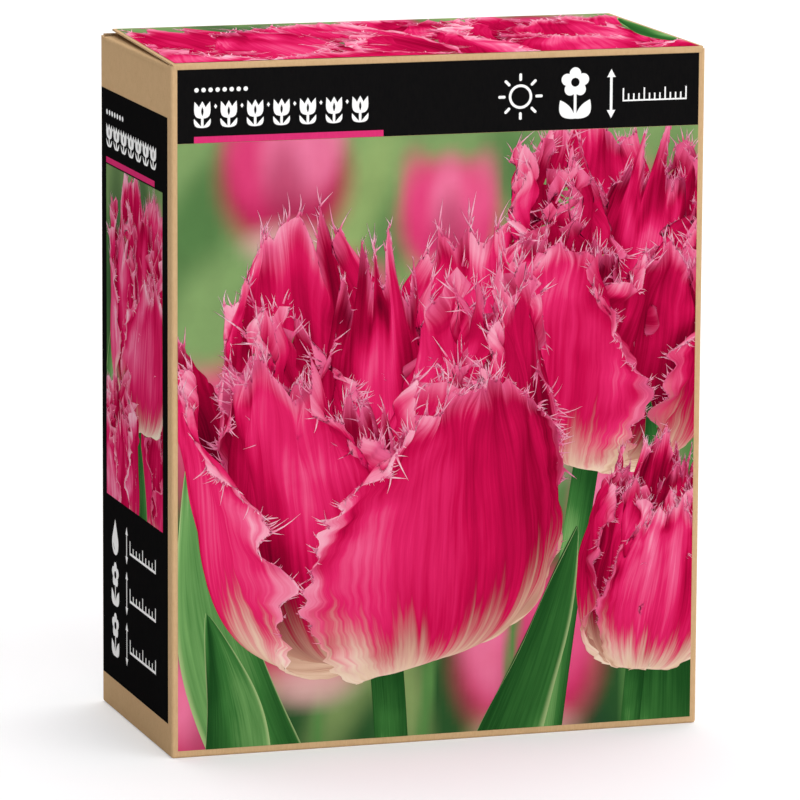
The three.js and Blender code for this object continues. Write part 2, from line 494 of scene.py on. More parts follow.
class PictureInk:
    """The inks of the garden picture: petals, fringe, green parts and the soft ground behind them."""

    ROUGHNESS = 0.55

    @classmethod
    def _finish(cls, sheet: MaterialSheet, colour: Socket) -> Material:
        """Feeds a picture's colour to its shader, with the paper's tooth in its gloss."""
        height = sheet.effect(board_fibre(), sheet.place())["Height"]
        sheet.coat(colour, sheet.span(height, 0.4, 1.1, cls.ROUGHNESS + 0.06, cls.ROUGHNESS - 0.04), 0.0)
        return sheet.material

    @staticmethod
    def _veins(sheet: MaterialSheet, fineness: float, broad: float, fine: float) -> Socket:
        """Veins from the piece's own map, about zero, with a weight for each of their two widths."""
        streaks = sheet.effect(petal_streaks(), sheet.own_map("petal"), fineness)
        return sheet.total((streaks["Broad"], broad), (streaks["Fine"], fine), base=-(broad + fine) / 2)

    @classmethod
    def petal(cls) -> Material:
        """Magenta petals on cream feet: dark in the folds, pale where the light falls, veined to the tip."""
        sheet = MaterialSheet("ink_petal")
        veins = cls._veins(sheet, 1.0, 0.52, 0.42)
        light = sheet.total((sheet.attribute("light"), 1), (veins, 1))
        dark = ((0.02, 84, 2, 24), (0.22, 148, 4, 46), (0.42, 198, 14, 74))
        body = sheet.ramp(light, *dark, (0.60, 224, 38, 102), (0.78, 238, 92, 140), (0.96, 250, 172, 196))
        cream = ((0.0, 176, 116, 96), (0.25, 226, 192, 164), (0.5, 246, 230, 208), (0.9, 254, 249, 240))
        along = sheet.attribute("along")
        side = sheet.maths("POWER", sheet.attribute("side"), 2.0)
        flame = sheet.total((along, 1), (side, -0.14), (veins, 1))
        colour = sheet.mix(sheet.span(flame, 0.08, 0.44), sheet.ramp(light, *cream), body)
        rim = sheet.total((sheet.attribute("across"), 1), (veins, 1.9))
        blush = sheet.maths("MULTIPLY", sheet.span(rim, 0.42, 1.15), sheet.span(along, 0.3, 0.6))
        pale = sheet.ramp(light, (0.0, 168, 34, 84), (0.45, 232, 104, 148), (1.0, 252, 208, 220))
        return cls._finish(sheet, sheet.mix(sheet.maths("MULTIPLY", blush, 0.9), colour, pale))

    @classmethod
    def fringe(cls) -> Material:
        """The crystal fringe: pink at its roots and nearly white at its tips."""
        sheet = MaterialSheet("ink_fringe")
        light = sheet.attribute("light")
        root = sheet.ramp(light, (0.0, 140, 14, 62), (0.5, 222, 70, 122), (1.0, 246, 140, 176))
        end = sheet.ramp(light, (0.0, 190, 84, 124), (0.45, 238, 150, 180), (0.9, 252, 216, 226))
        return cls._finish(sheet, sheet.mix(sheet.span(sheet.attribute("tip"), 0.0, 0.6), root, end))

    @classmethod
    def leaf(cls) -> Material:
        """Leaves and stems: blue-green with fine parallel veins and a pale thin edge."""
        sheet = MaterialSheet("ink_leaf")
        light = sheet.total((sheet.attribute("light"), 1), (cls._veins(sheet, 0.8, 0.30, 0.32), 1))
        deep = ((0.0, 12, 38, 16), (0.3, 30, 76, 32), (0.55, 56, 112, 52))
        body = sheet.ramp(light, *deep, (0.8, 112, 160, 92), (1.0, 190, 214, 160))
        edge = sheet.span(sheet.attribute("across"), 0.90, 1.0)
        return cls._finish(sheet, sheet.mix(sheet.maths("MULTIPLY", edge, 0.55), body, tone(196, 214, 150)))

    @classmethod
    def ground(cls) -> Material:
        """The blurred garden behind the blooms."""
        sheet = MaterialSheet("ink_ground")
        haze = sheet.noise(sheet.place(), 120, 2, 0.5)
        return cls._finish(sheet, sheet.mix(0.14, sheet.attribute("tint", "Color"), haze, "OVERLAY"))


@dataclass(frozen=True)
class BulbTunic:
    """The dry brown skin of a bulb, ribbed from root to tip and split here and there over the cream flesh."""

    name: str = "bulb_tunic"

    def material(self) -> Material:
        """Builds the material."""
        sheet = MaterialSheet(self.name)
        own_map = sheet.own_map("skin")
        ribs = sheet.noise(own_map, 1.0, 5, 0.65, (34, 2.0, 1))
        cloud = sheet.noise(sheet.place(), 130, 4, 0.6)
        dry = sheet.total((ribs, 0.7), (cloud, 0.3))
        brown = ((0.3, 70, 36, 20), (0.45, 118, 66, 34), (0.6, 160, 100, 54), (0.75, 196, 146, 92))
        bare = sheet.span(sheet.noise(own_map, 1.0, 3, 0.6, (5, 1.6, 1)), 0.60, 0.64)
        flesh = sheet.mix(cloud, tone(224, 202, 160), tone(240, 226, 196))
        sheet.coat(sheet.mix(bare, sheet.ramp(dry, *brown), flesh), sheet.span(bare, 0.0, 1.0, 0.42, 0.6))
        sheet.bump(sheet.total((ribs, 1), (bare, -0.8)), 0.6, 0.3 * MM)
        return sheet.material


class Finish(Enum):
    """The carton's finishes, each made into a material once."""

    KRAFT = KraftBoard("kraft_outside", tone(211, 176, 133), tone(202, 166, 123), tone(172, 132, 92))
    INSIDE = KraftBoard("kraft_inside", tone(206, 174, 136), tone(180, 144, 104), tone(140, 104, 70), 0.86)
    CUT = KraftBoard("kraft_raw_edge", tone(226, 196, 158), tone(188, 150, 108), tone(150, 112, 76), 0.9, 1.8)
    BLACK = FlatInk("ink_black", tone(15, 15, 16), tone(20, 19, 19))
    WHITE = FlatInk("ink_white", tone(255, 255, 255), tone(249, 248, 246))
    PINK = FlatInk("ink_pink", tone(224, 54, 118), tone(214, 50, 112))

    def material(self) -> Material:
        """The finish's material."""
        return bpy.data.materials.get(self.value.name) or self.value.material()


class PictureFinish(Enum):
    """The picture's inks, each made into a material once."""

    PETAL = "ink_petal"
    FRINGE = "ink_fringe"
    LEAF = "ink_leaf"
    GROUND = "ink_ground"

    def material(self) -> Material:
        """The ink's material."""
        return bpy.data.materials.get(self.value) or getattr(PictureInk, self.name.lower())()


# ---- bent board


@dataclass(frozen=True)
class Line2D:
    """A line in a plane, as points with a normal at each.

    A bend of the line is known by the numbers of its first and its last point.
    """

    points: Array
    normals: Array

    ARC_STEPS = 8
    FIRST_BEND = [1, ARC_STEPS + 1]
    SECOND_BEND = [ARC_STEPS + 2, 2 * ARC_STEPS + 2]

    @classmethod
    def bent(cls, corners: Sequence[Pair], radius: float, side: int) -> Line2D:
        """A line through rounded corners.

        Args:
            corners: The line's ends and the corners between them.
            radius: The radius at each corner.
            side: 1 for normals to the left of the line, -1 for the right.

        Returns:
            The line.
        """
        corner = [np.array(c, float) for c in corners]
        ways = [after - before for before, after in zip(corner, corner[1:])]
        starts = [math.atan2(way[1], way[0]) for way in ways]
        points, angles = [corner[0]], [starts[0]]
        for at, way_in, start, end in zip(corner[1:], ways, starts, starts[1:]):
            turn = (end - start + math.pi) % (2 * math.pi) - math.pi
            bend = math.copysign(1, turn)
            entry = at - way_in / np.linalg.norm(way_in) * radius * math.tan(abs(turn) / 2)
            centre = entry + radius * bend * np.array((-math.sin(start), math.cos(start)))
            for step in range(cls.ARC_STEPS + 1):
                angle = start + turn * step / cls.ARC_STEPS
                points.append(centre - radius * bend * np.array((-math.sin(angle), math.cos(angle))))
                angles.append(angle)
        points.append(corner[-1])
        angles.append(starts[-1])
        across = np.array(angles) + side * math.pi / 2
        return cls(np.array(points), np.stack([np.cos(across), np.sin(across)], 1))

    def lengths(self) -> Array:
        """How far along the line each point is."""
        steps = np.linalg.norm(np.diff(self.points, axis=0), axis=1)
        return np.concatenate([[0], np.cumsum(steps)])

    def part(self, start: float, end: float, extra: Sequence[float] = ()) -> tuple[Line2D, Array]:
        """The part of the line between two distances along it.

        Args:
            start: The part's start.
            end: Its end.
            extra: Further distances that need a point.

        Returns:
            The part, and the distance of each of its points.
        """
        along = self.lengths()
        inner = [s for s in (*along, *extra) if start + TINY < s < end - TINY]
        places = np.array(sorted({start, end, *inner}))
        points, normals = (
            np.stack([np.interp(places, along, rows[:, k]) for k in (0, 1)], 1)
            for rows in (self.points, self.normals)
        )
        return Line2D(points, unit(normals)), places


@dataclass(frozen=True)
class BoardStock:
    """The kraft board that the carton is cut from."""

    thickness: float = 0.50 * MM
    inset: float = 0.18 * MM
    fold_radius: float = 0.57 * MM

    @property
    def middle(self) -> float:
        """From the carton's outside to the middle of the board."""
        return self.inset + self.thickness / 2


SHARP_FROM = math.radians(50)


def finish_board(name: str, skins: Sequence[Array], grid: Array, rim: list) -> Piece:
    """Makes a piece of board, with a finish for its print side, its inner side and its cut edges.

    Args:
        name: The piece's name.
        skins: The points of the two sides, in the same order.
        grid: The print side's quads.
        rim: The cut edges' quads.

    Returns:
        The new object.
    """
    faces = [*grid, *(grid[:, ::-1] + len(skins[0])), *rim]
    mesh = plain_mesh(name, np.vstack(skins), faces)
    for finish in (Finish.KRAFT, Finish.INSIDE, Finish.CUT):
        mesh.materials.append(finish.material())
    mesh.polygons.foreach_set("material_index", [0] * len(grid) + [1] * len(grid) + [2] * len(rim))
    turn_outwards(mesh)
    mesh.set_sharp_from_angle(angle=SHARP_FROM)
    return link(mesh)


@dataclass(frozen=True)
class BoardStrip:
    """A length of board that follows a line in one plane and runs straight across it.

    The axes say what X, Y and Z are: 0 and 1 for the line's own two, 2 for the way across.
    """

    name: str
    line: Line2D
    low: Array
    high: Array
    axes: tuple[int, int, int]
    side: int = 1
    across: int = 12

    def build(self) -> Piece:
        """Builds the strip.

        Returns:
            The new object.
        """
        share = np.linspace(0, 1, self.across + 1)
        width = self.low[:, None] + (self.high - self.low)[:, None] * share
        half = BoardStock.thickness / 2
        skins = []
        for offset in (half, -half):
            plane = self.line.points + self.line.normals * offset
            first, second = (np.repeat(plane[:, k : k + 1], self.across + 1, 1) for k in (0, 1))
            three = (first * self.side, second, width)
            skins.append(np.stack([three[k] for k in self.axes], -1).reshape(-1, 3))
        rows, columns = width.shape
        count = rows * columns
        ring = [*range(columns), *range(2 * columns - 1, count, columns)]
        ring += [*range(count - 2, count - columns - 1, -1), *range(count - 2 * columns, 0, -columns)]
        return finish_board(self.name, skins, grid_faces(rows, columns), band(ring, count))


@dataclass(frozen=True)
class FlapShape:
    """The outline of a flap: how its two sides run from its fold to its free end."""

    length: float
    near: Pair
    far: Pair
    corner: float

    def stations(self) -> Array:
        """Distances from the fold at which the outline needs a point."""
        curve = self.length - self.corner + self.corner * np.sin(np.linspace(0, math.pi / 2, 9))
        return np.concatenate([np.linspace(0, self.length - self.corner, 8), curve[1:]])

    def sides(self, along: Array) -> tuple[Array, Array]:
        """Where the low side and the high side are, at distances from the fold."""
        share = along / self.length
        into = np.clip(along - (self.length - self.corner), 0, self.corner)
        cut = self.corner - np.sqrt(np.maximum(self.corner**2 - into**2, 0))
        low = self.near[0] + (self.near[1] - self.near[0]) * share + cut
        return low, self.far[0] + (self.far[1] - self.far[0]) * share - cut


@dataclass
class Carton:
    """The bent board of the carton: walls, base, lid, tuck flap and dust flaps."""

    LENGTHWISE = (2, 0, 1)
    CROSSWISE = (0, 2, 1)

    stock: BoardStock = BoardStock()
    lid_tilt: float = 1.0
    lid_length: float = 70.9 * MM
    lid_rise: float = 0.6 * MM
    lid_taper: float = 2.5 * MM
    hinge_height: float = 189.4 * MM
    crease_inset: float = 0.86 * MM
    crease_end: float = 0.6 * MM
    tuck_lean: float = 12.0
    tuck_length: float = 16 * MM
    tuck_corner: float = 11 * MM
    dust_corner: float = 5 * MM
    dust_end: float = -7.4 * MM
    front_top: float = 188.25 * MM
    side_top: float = 187.65 * MM
    rim_top: float = 189.2 * MM
    glue_flap: tuple[float, float, float] = (4 * MM, 182 * MM, 6 * MM)
    glue_width: float = 14 * MM
    glue_gap: float = 0.26 * MM
    base_inset: float = 0.15 * MM
    corner: float = 0.82 * MM
    foot: float = 0.8 * MM
    play: float = 0.05 * MM
    gap: float = 0.02 * MM

    def __post_init__(self) -> None:
        """Reads the other sizes from the frame."""
        low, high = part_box("sleeve")
        self.half_width = high.x - self.stock.inset
        self.half_depth = high.y - self.stock.inset
        self.back_top = high.z - self.play
        self.side_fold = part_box("dust_flap_left")[1].z
        self.lid_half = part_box("lid_panel")[1].x - self.play
        self.tuck_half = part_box("tuck_flap")[1].x - self.play
        self.hinge = np.array((low.y + self.lid_rise, self.hinge_height))

    def lid_axes(self) -> tuple[Array, Array]:
        """The lid's own directions in the plane of Y and Z: away from the fold, and up."""
        c, s = turned(self.lid_tilt)
        return np.array((c, s)), np.array((-s, c))

    def lid_line(self) -> Line2D:
        """The line of the board from the top of the front wall over the lid to the end of the tuck flap."""
        away, up = self.lid_axes()
        rise = self.lid_rise - self.stock.middle
        front = -(self.half_depth - self.stock.thickness / 2)
        start = self.hinge + up * rise
        fold = start + away * ((front - start[0]) / away[0])
        c, s = turned(self.tuck_lean)
        down, out = np.array((-s, -c)), np.array((c, -s))
        pivot = self.hinge + away * self.lid_length
        end = pivot + down * self.tuck_length + out * rise
        share = np.linalg.solve(np.stack([away, -down], 1), pivot + out * rise - start)
        corners = [(front, self.front_top - self.play), fold, start + away * share[0], end]
        return Line2D.bent(corners, self.stock.fold_radius, side=1)

    def build_crease(self, name: str, line: Line2D, half: Array) -> None:
        """Builds a crease of the lid's board, which lies between two bodies; it rides on neither of them.

        Args:
            name: The crease's name.
            line: Its part of the line.
            half: Half of its width at each point.
        """
        strip = BoardStrip(name, line, -half, half, self.LENGTHWISE).build()
        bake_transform(strip)

    def build_lid(self) -> None:
        """Builds the lid, the tuck flap and the two creases beside them."""
        line = self.lid_line()
        along = line.lengths()
        near, far = line.FIRST_BEND, line.SECOND_BEND
        fold_start, fold_end, far_start, far_end, end = along[[*near, *far, -1]]
        lid_start, narrow = fold_end + self.crease_end, self.lid_half - self.lid_taper
        crease, places = line.part(0, lid_start)
        half = np.interp(places, (fold_start, fold_end), (self.half_width - self.crease_inset, self.lid_half))
        self.build_crease("lid_crease", crease, half)
        panel, places = line.part(lid_start, far_start, np.linspace(lid_start, far_start, 12))
        half = np.interp(places, (fold_end, far_start), (self.lid_half, narrow))
        made = BoardStrip("lid_board", panel, -half, half, self.LENGTHWISE).build()
        dress(made, "lid", "lid_panel")
        crease, places = line.part(far_start, far_end)
        half = np.interp(places, (far_start, far_end), (narrow, self.tuck_half))
        self.build_crease("tuck_crease", crease, half)
        shape = FlapShape(end - far_end, (-self.tuck_half,) * 2, (self.tuck_half,) * 2, self.tuck_corner)
        flap, places = line.part(far_end, end, far_end + shape.stations())
        made = BoardStrip("tuck_board", flap, *shape.sides(places - far_end), self.LENGTHWISE).build()
        dress(made, "tuck", "tuck_flap")
        log.info("lid: %.1f mm of board from the front crease to the tuck flap's end", end / MM)

    def build_dust_flap(self, name: str, side: int) -> None:
        """Builds one dust flap and the crease that joins it to its side wall.

        Args:
            name: Which one it is.
            side: -1 for the left wall, 1 for the right.
        """
        body, node = f"dust_{name}", f"dust_flap_{name}"
        wall = self.half_width - self.stock.thickness / 2
        level = self.side_fold - self.gap - self.stock.thickness / 2
        low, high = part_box(node)
        tip = min(abs(low.x), abs(high.x)) + self.gap
        corners = [(wall, self.side_top - self.play), (wall, level), (tip, level)]
        line = Line2D.bent(corners, self.stock.fold_radius, side=-1)
        fold_end, end = line.lengths()[[line.FIRST_BEND[1], -1]]
        near, far = low.y + self.play, high.y - self.gap
        crease, places = line.part(0, fold_end)
        same = np.ones(len(places))
        strip = BoardStrip(f"{body}_crease", crease, near * same, far * same, self.CROSSWISE, side).build()
        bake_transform(strip)
        shape = FlapShape(end - fold_end, (near, self.dust_end), (far, far), self.dust_corner)
        flap, places = line.part(fold_end, end, fold_end + shape.stations())
        sides = shape.sides(places - fold_end)
        made = BoardStrip(f"{body}_board", flap, *sides, self.CROSSWISE, side).build()
        dress(made, body, node)
        log.info("%s: %.1f mm long", body, shape.length / MM)

    def wall_columns(self) -> tuple[Array, Array, Array]:
        """The columns round the walls.

        Returns:
            Each column's centre of rounding, outward direction and top.
        """
        x, y = self.half_width - self.corner, self.half_depth - self.corner
        rim, side = self.rim_top, self.side_top
        low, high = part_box("dust_flap_left")
        notch = [(low.y - self.gap, rim), (low.y + self.gap, side)]
        notch += [(high.y - self.gap, side), (high.y + self.gap, rim)]
        stops = [(-y, rim), *notch, (y, rim)]
        shares = np.linspace(-1, 1, 25)
        flats = (
            [((share * x, -y), self.front_top) for share in shares],
            [((x, at), top) for at, top in stops],
            [((share * x, y), self.back_top) for share in -shares],
            [((-x, at), top) for at, top in stops[::-1]],
        )
        centres, ways, tops = [], [], []
        for quarter, flat in enumerate(flats):
            turns = [0.0] * len(flat) + [step / 6 for step in (0.15, 1, 2, 3, 4, 5, 5.85)]
            ways += [(quarter - 1 + turn) * math.pi / 2 for turn in turns]
            centres += [centre for centre, _ in flat] + [flat[-1][0]] * 7
            tops += [top for _, top in flat] + [rim] * 7
        return np.array(centres), np.stack([np.cos(ways), np.sin(ways)], 1), np.array(tops)

    def build_walls(self) -> None:
        """Builds the four walls as one ring of board, turned in at the foot."""
        centres, ways, tops = self.wall_columns()
        levels = np.concatenate([[2, 6, 16], np.linspace(30, 170, 9), [182, 187]]) * MM
        foot, turns = self.foot, np.linspace(math.pi / 2, 0, 7)
        skins = []
        for inset in (0.0, self.stock.thickness):
            radius = foot - inset
            rows = [(foot - radius * math.cos(a), foot - radius * math.sin(a)) for a in turns]
            rows += [(inset, z) for z in levels] + [(inset, tops)]
            levels_of = [np.broadcast_to(z, len(tops)) for _, z in rows]
            flats = [centres + ways * (self.corner - depth) for depth, _ in rows]
            skins.append(np.vstack([np.column_stack(pair) for pair in zip(flats, levels_of)]))
        columns, count = len(tops), len(skins[0])
        rim = [quad for first in (0, count - columns) for quad in band(range(first, first + columns), count)]
        grid = grid_faces(count // columns, columns, wrap=True)
        made = finish_board("carton_walls", skins, grid, rim)
        dress(made, "carton", "sleeve")
        log.info("walls: %d columns of %d rows", columns, count // columns)

    def build_glue_flap(self) -> None:
        """Builds the strip of the back wall that is glued inside the right wall."""
        inside = self.half_width - self.stock.thickness - self.glue_gap
        back = self.half_depth - self.stock.thickness
        ends = np.array(((inside, back - 0.1 * MM), (inside, back - self.glue_width)))
        low, high, cut = self.glue_flap
        slant = np.array((0, cut))
        line = Line2D(ends, np.array(((1.0, 0.0),) * 2))
        made = BoardStrip("glue_flap", line, low + slant, high - slant, (0, 1, 2)).build()
        dress(made, "carton")

    def build_base(self) -> None:
        """Builds the glued base: outer flap, inner flap and two dust flaps."""
        plans = (
            ("outer_flap", 1, 1, 2.0),
            ("inner_flap", 1, 1, 4.0),
            ("dust_flap_left", 0, 1, 4.0),
            ("dust_flap_right", 0, -1, 4.0),
        )
        for name, axis, way, corner in plans:
            node = "bottom_" + name
            low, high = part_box(node)
            level = low.z + self.stock.thickness / 2 + self.play
            span, sides = ((low[k] + self.base_inset, high[k] - self.base_inset) for k in (axis, 1 - axis))
            start = span[0] if way > 0 else span[1]
            shape = FlapShape(span[1] - span[0], (sides[0],) * 2, (sides[1],) * 2, corner * MM)
            along = shape.stations()
            points = np.stack([start + way * along, np.full(len(along), level)], 1)
            line = Line2D(points, np.tile((0.0, -1.0), (len(along), 1)))
            axes = self.LENGTHWISE if axis else self.CROSSWISE
            made = BoardStrip(node + "_board", line, *shape.sides(along), axes).build()
            dress(made, "carton", node)
        log.info("base: %d flaps", len(plans))

    def build(self) -> None:
        """Builds all the board."""
        self.build_walls()
        self.build_glue_flap()
        self.build_base()
        self.build_lid()
        self.build_dust_flap("left", -1)
        self.build_dust_flap("right", 1)


# ---- repeated marks, by geometry nodes


def start_tree(name: str, **inputs: str) -> tuple[NodeSheet, dict[str, Socket], Node]:
    """Starts a tree that takes a mesh and an ink, and gives a mesh back.

    Args:
        name: The tree's name.
        inputs: Further inputs, each with the end of its socket type.

    Returns:
        A sheet to write on, the inputs by name, and the output node.
    """
    tree = bpy.data.node_groups.new(name, "GeometryNodeTree")
    tree.interface.new_socket(name="Geometry", in_out="OUTPUT", socket_type="NodeSocketGeometry")
    inputs = {"Geometry": "Geometry", **inputs, "Ink": "Material"}
    for key, kind in inputs.items():
        tree.interface.new_socket(name=key, in_out="INPUT", socket_type="NodeSocket" + kind)
    sheet = NodeSheet(tree)
    inside = sheet.add("NodeGroupInput")
    return sheet, {key: inside.outputs[key] for key in inputs}, sheet.add("NodeGroupOutput")


def end_tree(sheet: NodeSheet, made: Socket, at: dict[str, Socket], end: Node) -> Tree:
    """Ends a tree: what was made is made real and takes the ink."""
    real = sheet.add("GeometryNodeRealizeInstances", {"Geometry": made}).outputs[0]
    inked = sheet.add("GeometryNodeSetMaterial", {"Geometry": real, "Material": at["Ink"]}).outputs[0]
    sheet.feed(end.inputs[0], inked)
    return sheet.tree


def named(sheet: NodeSheet, name: str, kind: str) -> Socket:
    """Reads a named attribute."""
    return sheet.add("GeometryNodeInputNamedAttribute", {"Name": name}, data_type=kind).outputs[0]


@cache
def mark_row() -> Tree:
    """A straight row of marks, in which every so many is taller."""
    sheet, at, end = start_tree("mark_row", Count="Int", Pitch="Vector", Every="Int", Tall="Float")
    line = sheet.add("GeometryNodeMeshLine", {"Count": at["Count"], "Offset": at["Pitch"]}).outputs[0]
    index = sheet.add("GeometryNodeInputIndex").outputs[0]
    tall = sheet.maths("LESS_THAN", sheet.maths("MODULO", index, at["Every"]), 0.5)
    more = sheet.maths("SUBTRACT", at["Tall"], 1.0)
    rise = sheet.maths("ADD", 1.0, sheet.maths("MULTIPLY", tall, more))
    scale = sheet.add("ShaderNodeCombineXYZ", {"X": 1.0, "Y": rise, "Z": 1.0}).outputs[0]
    marks = {"Points": line, "Instance": at["Geometry"], "Scale": scale}
    return end_tree(sheet, sheet.add("GeometryNodeInstanceOnPoints", marks).outputs[0], at, end)


@cache
def mark_ring() -> Tree:
    """Marks spread evenly round a centre, each turned to point away from it."""
    sheet, at, end = start_tree("mark_ring", Count="Int")
    line = sheet.add("GeometryNodeMeshLine", {"Count": at["Count"], "Offset": (0.0, 0.0, 0.0)}).outputs[0]
    index = sheet.add("GeometryNodeInputIndex").outputs[0]
    angle = sheet.maths("MULTIPLY", index, sheet.maths("DIVIDE", 2 * math.pi, at["Count"]))
    turn = sheet.add("ShaderNodeCombineXYZ", {"Z": angle}).outputs[0]
    marks = {"Points": line, "Instance": at["Geometry"], "Rotation": turn}
    return end_tree(sheet, sheet.add("GeometryNodeInstanceOnPoints", marks).outputs[0], at, end)


@cache
def fringe_tree() -> Tree:
    """A fine spike on each vertex, along its own direction and bent by its own amount."""
    sheet, at, end = start_tree("fringe", Sides="Int", Slimness="Float")
    sizes = {"Radius Top": 0.08, "Radius Bottom": 1.0, "Depth": 1.0}
    sizes |= {"Vertices": at["Sides"], "Side Segments": 4}
    cone = sheet.add("GeometryNodeMeshCone", sizes, fill_type="NONE").outputs[0]
    where = sheet.add("GeometryNodeInputPosition").outputs[0]
    height = sheet.add("ShaderNodeSeparateXYZ", {0: where}).outputs["Z"]
    tip = {"Geometry": cone, "Name": "tip"}
    stored = sheet.add("GeometryNodeStoreNamedAttribute", tip, domain="POINT")
    sheet.feed(next(s for s in stored.inputs if s.name == "Value" and s.enabled), height)
    way, size = named(sheet, "way", "FLOAT_VECTOR"), named(sheet, "size", "FLOAT")
    turn = sheet.add("FunctionNodeAlignRotationToVector", {"Vector": way}, axis="Z").outputs[0]
    girth = sheet.maths("MULTIPLY", at["Slimness"], sheet.maths("POWER", size, 0.6))
    scale = sheet.add("ShaderNodeCombineXYZ", {"X": girth, "Y": girth, "Z": size}).outputs[0]
    spikes = {"Points": at["Geometry"], "Instance": stored.outputs[0], "Rotation": turn, "Scale": scale}
    spread = sheet.add("GeometryNodeInstanceOnPoints", spikes).outputs[0]
    real = sheet.add("GeometryNodeRealizeInstances", {"Geometry": spread}).outputs[0]
    share = sheet.maths("POWER", named(sheet, "tip", "FLOAT"), 2.0)
    bend = {0: named(sheet, "bend", "FLOAT_VECTOR"), "Scale": share}
    shift = sheet.add("ShaderNodeVectorMath", bend, operation="SCALE").outputs[0]
    bent = sheet.add("GeometryNodeSetPosition", {"Geometry": real, "Offset": shift}).outputs[0]
    return end_tree(sheet, bent, at, end)


def run_tree(tree: Tree, seed_mesh: Mesh, inputs: dict) -> Mesh:
    """Runs a tree on a mesh.

    Args:
        tree: The tree.
        seed_mesh: What it starts from.
        inputs: Values for its named inputs.

    Returns:
        The result, as a plain mesh.
    """
    holder = link(seed_mesh)
    modifier = holder.modifiers.new("repeat", "NODES")
    modifier.node_group = tree
    for socket in tree.interface.items_tree:
        if socket.in_out == "INPUT" and socket.name in inputs:
            modifier[socket.identifier] = inputs[socket.name]
    bpy.context.view_layer.update()
    depsgraph = bpy.context.evaluated_depsgraph_get()
    made = bpy.data.meshes.new_from_object(holder.evaluated_get(depsgraph), depsgraph=depsgraph)
    holder.modifiers.remove(modifier)
    bpy.data.objects.remove(holder)
    return made


# ---- flat prints


@dataclass(frozen=True)
class PrintFace:
    """A flat side of the carton that takes ink, with its own right, up and outward directions."""

    name: str
    body: str
    origin: Vector
    right: Vector
    up: Vector
    out: Vector

    def matrix(self, lift: float = 0.0) -> Matrix:
        """The matrix that puts flat artwork on the face, lifted off the board."""
        turn = Matrix((self.right, self.up, self.out)).transposed().to_4x4()
        return Matrix.Translation(self.origin + self.out * lift) @ turn


@dataclass
class CartonFaces:
    """The five faces of a carton that are printed."""

    carton: Carton

    def __post_init__(self) -> None:
        """Finds the faces."""
        right, back, up = Vector((1, 0, 0)), Vector((0, 1, 0)), Vector((0, 0, 1))
        across, deep = self.carton.half_width, self.carton.half_depth
        away, rise = self.carton.lid_axes()
        self.front = PrintFace("front", "carton", -back * deep, right, up, -back)
        self.back = PrintFace("back", "carton", back * deep, -right, up, back)
        self.left = PrintFace("left", "carton", -right * across, -back, up, -right)
        self.right = PrintFace("right", "carton", right * across, back, up, right)
        start = self.carton.hinge + rise * (self.carton.lid_rise - self.carton.stock.inset)
        self.lid = PrintFace("lid", "lid", Vector((0, *start)), right, Vector((0, *away)), Vector((0, *rise)))


Outline = list[Pair]

# How far to the right the artwork of the right wall is moved, in millimetres.
RIGHT_SHIFT = 2.4


def box(left: float, low: float, right: float, high: float, corner: float = 0.0) -> Outline:
    """An upright box, with rounded corners if asked."""
    if corner <= 0:
        return [(left, low), (right, low), (right, high), (left, high)]
    xs, ys = (right - corner, right - corner, left + corner, left + corner), (low + corner, high - corner)
    made = []
    for quarter, (cx, cy) in enumerate(zip(xs, (*ys, *ys[::-1]))):
        for step in range(7):
            c, s = turned(90 * (quarter - 1) + step * 15)
            made.append((cx + corner * c, cy + corner * s))
    return made


def oval(x: float, y: float, wide: float, high: float | None = None) -> Outline:
    """An oval, given its half sizes."""
    high = wide if high is None else high
    return [(x + wide * c, y + high * s) for c, s in (turned(step * 9) for step in range(40))]


def water_drop(x: float, y: float, radius: float, height: float) -> Outline:
    """A drop of water, whose round foot has its centre at x, y."""
    half = math.degrees(math.acos(radius / height))
    turns = (turned(90 + half + (360 - 2 * half) * step / 32) for step in range(33))
    return [(x, y + height), *((x + radius * c, y + radius * s) for c, s in turns)]


def blade(start: Pair, end: Pair, belly: float, hollow: float) -> Outline:
    """A leaf between two points: one side bows out by belly, the other by hollow."""
    (ax, ay), (bx, by) = start, end
    length = math.hypot(bx - ax, by - ay)
    nx, ny = -(by - ay) / length, (bx - ax) / length
    made = []
    for bow, steps in ((belly, range(0, 17)), (hollow, range(15, 0, -1))):
        for step in steps:
            share = step / 16
            off = bow * math.sin(math.pi * share) ** 0.9
            made.append((ax + (bx - ax) * share + nx * off, ay + (by - ay) * share + ny * off))
    return made


def both_sides(x: float, y: float, half: Sequence[Pair]) -> Outline:
    """An outline that is alike on both sides of an upright line, from its right half."""
    return [(x + a, y + b) for a, b in half] + [(x - a, y + b) for a, b in half[-2:0:-1]]


def tulip(y: float, wide: float, high: float) -> Outline:
    """A simple three-pointed tulip head that stands at a height y."""
    half = ((0, 0), (16, 1), (32, 6), (43, 17), (48.5, 33), (50, 52), (49, 74), (47, 98))
    half += ((30, 80), (20, 66), (9, 86), (0, 100))
    return both_sides(0, y, [(a / 100 * wide, b / 100 * high) for a, b in half])


def double_arrow(x: float, low: float, high: float, line: float, head: float) -> Outline:
    """An upright arrow with a solid head at both ends."""
    tall, neck = high - low, head * 0.9
    half = [(0, 0), (head / 2, neck), (line / 2, neck), (line / 2, tall - neck), (head / 2, tall - neck)]
    return both_sides(x, low, [*half, (0, tall)])


def mark_mesh(outline: Outline) -> Mesh:
    """One flat face, in metres."""
    return plain_mesh("mark", np.array([(x * MM, y * MM, 0) for x, y in outline]), [range(len(outline))])


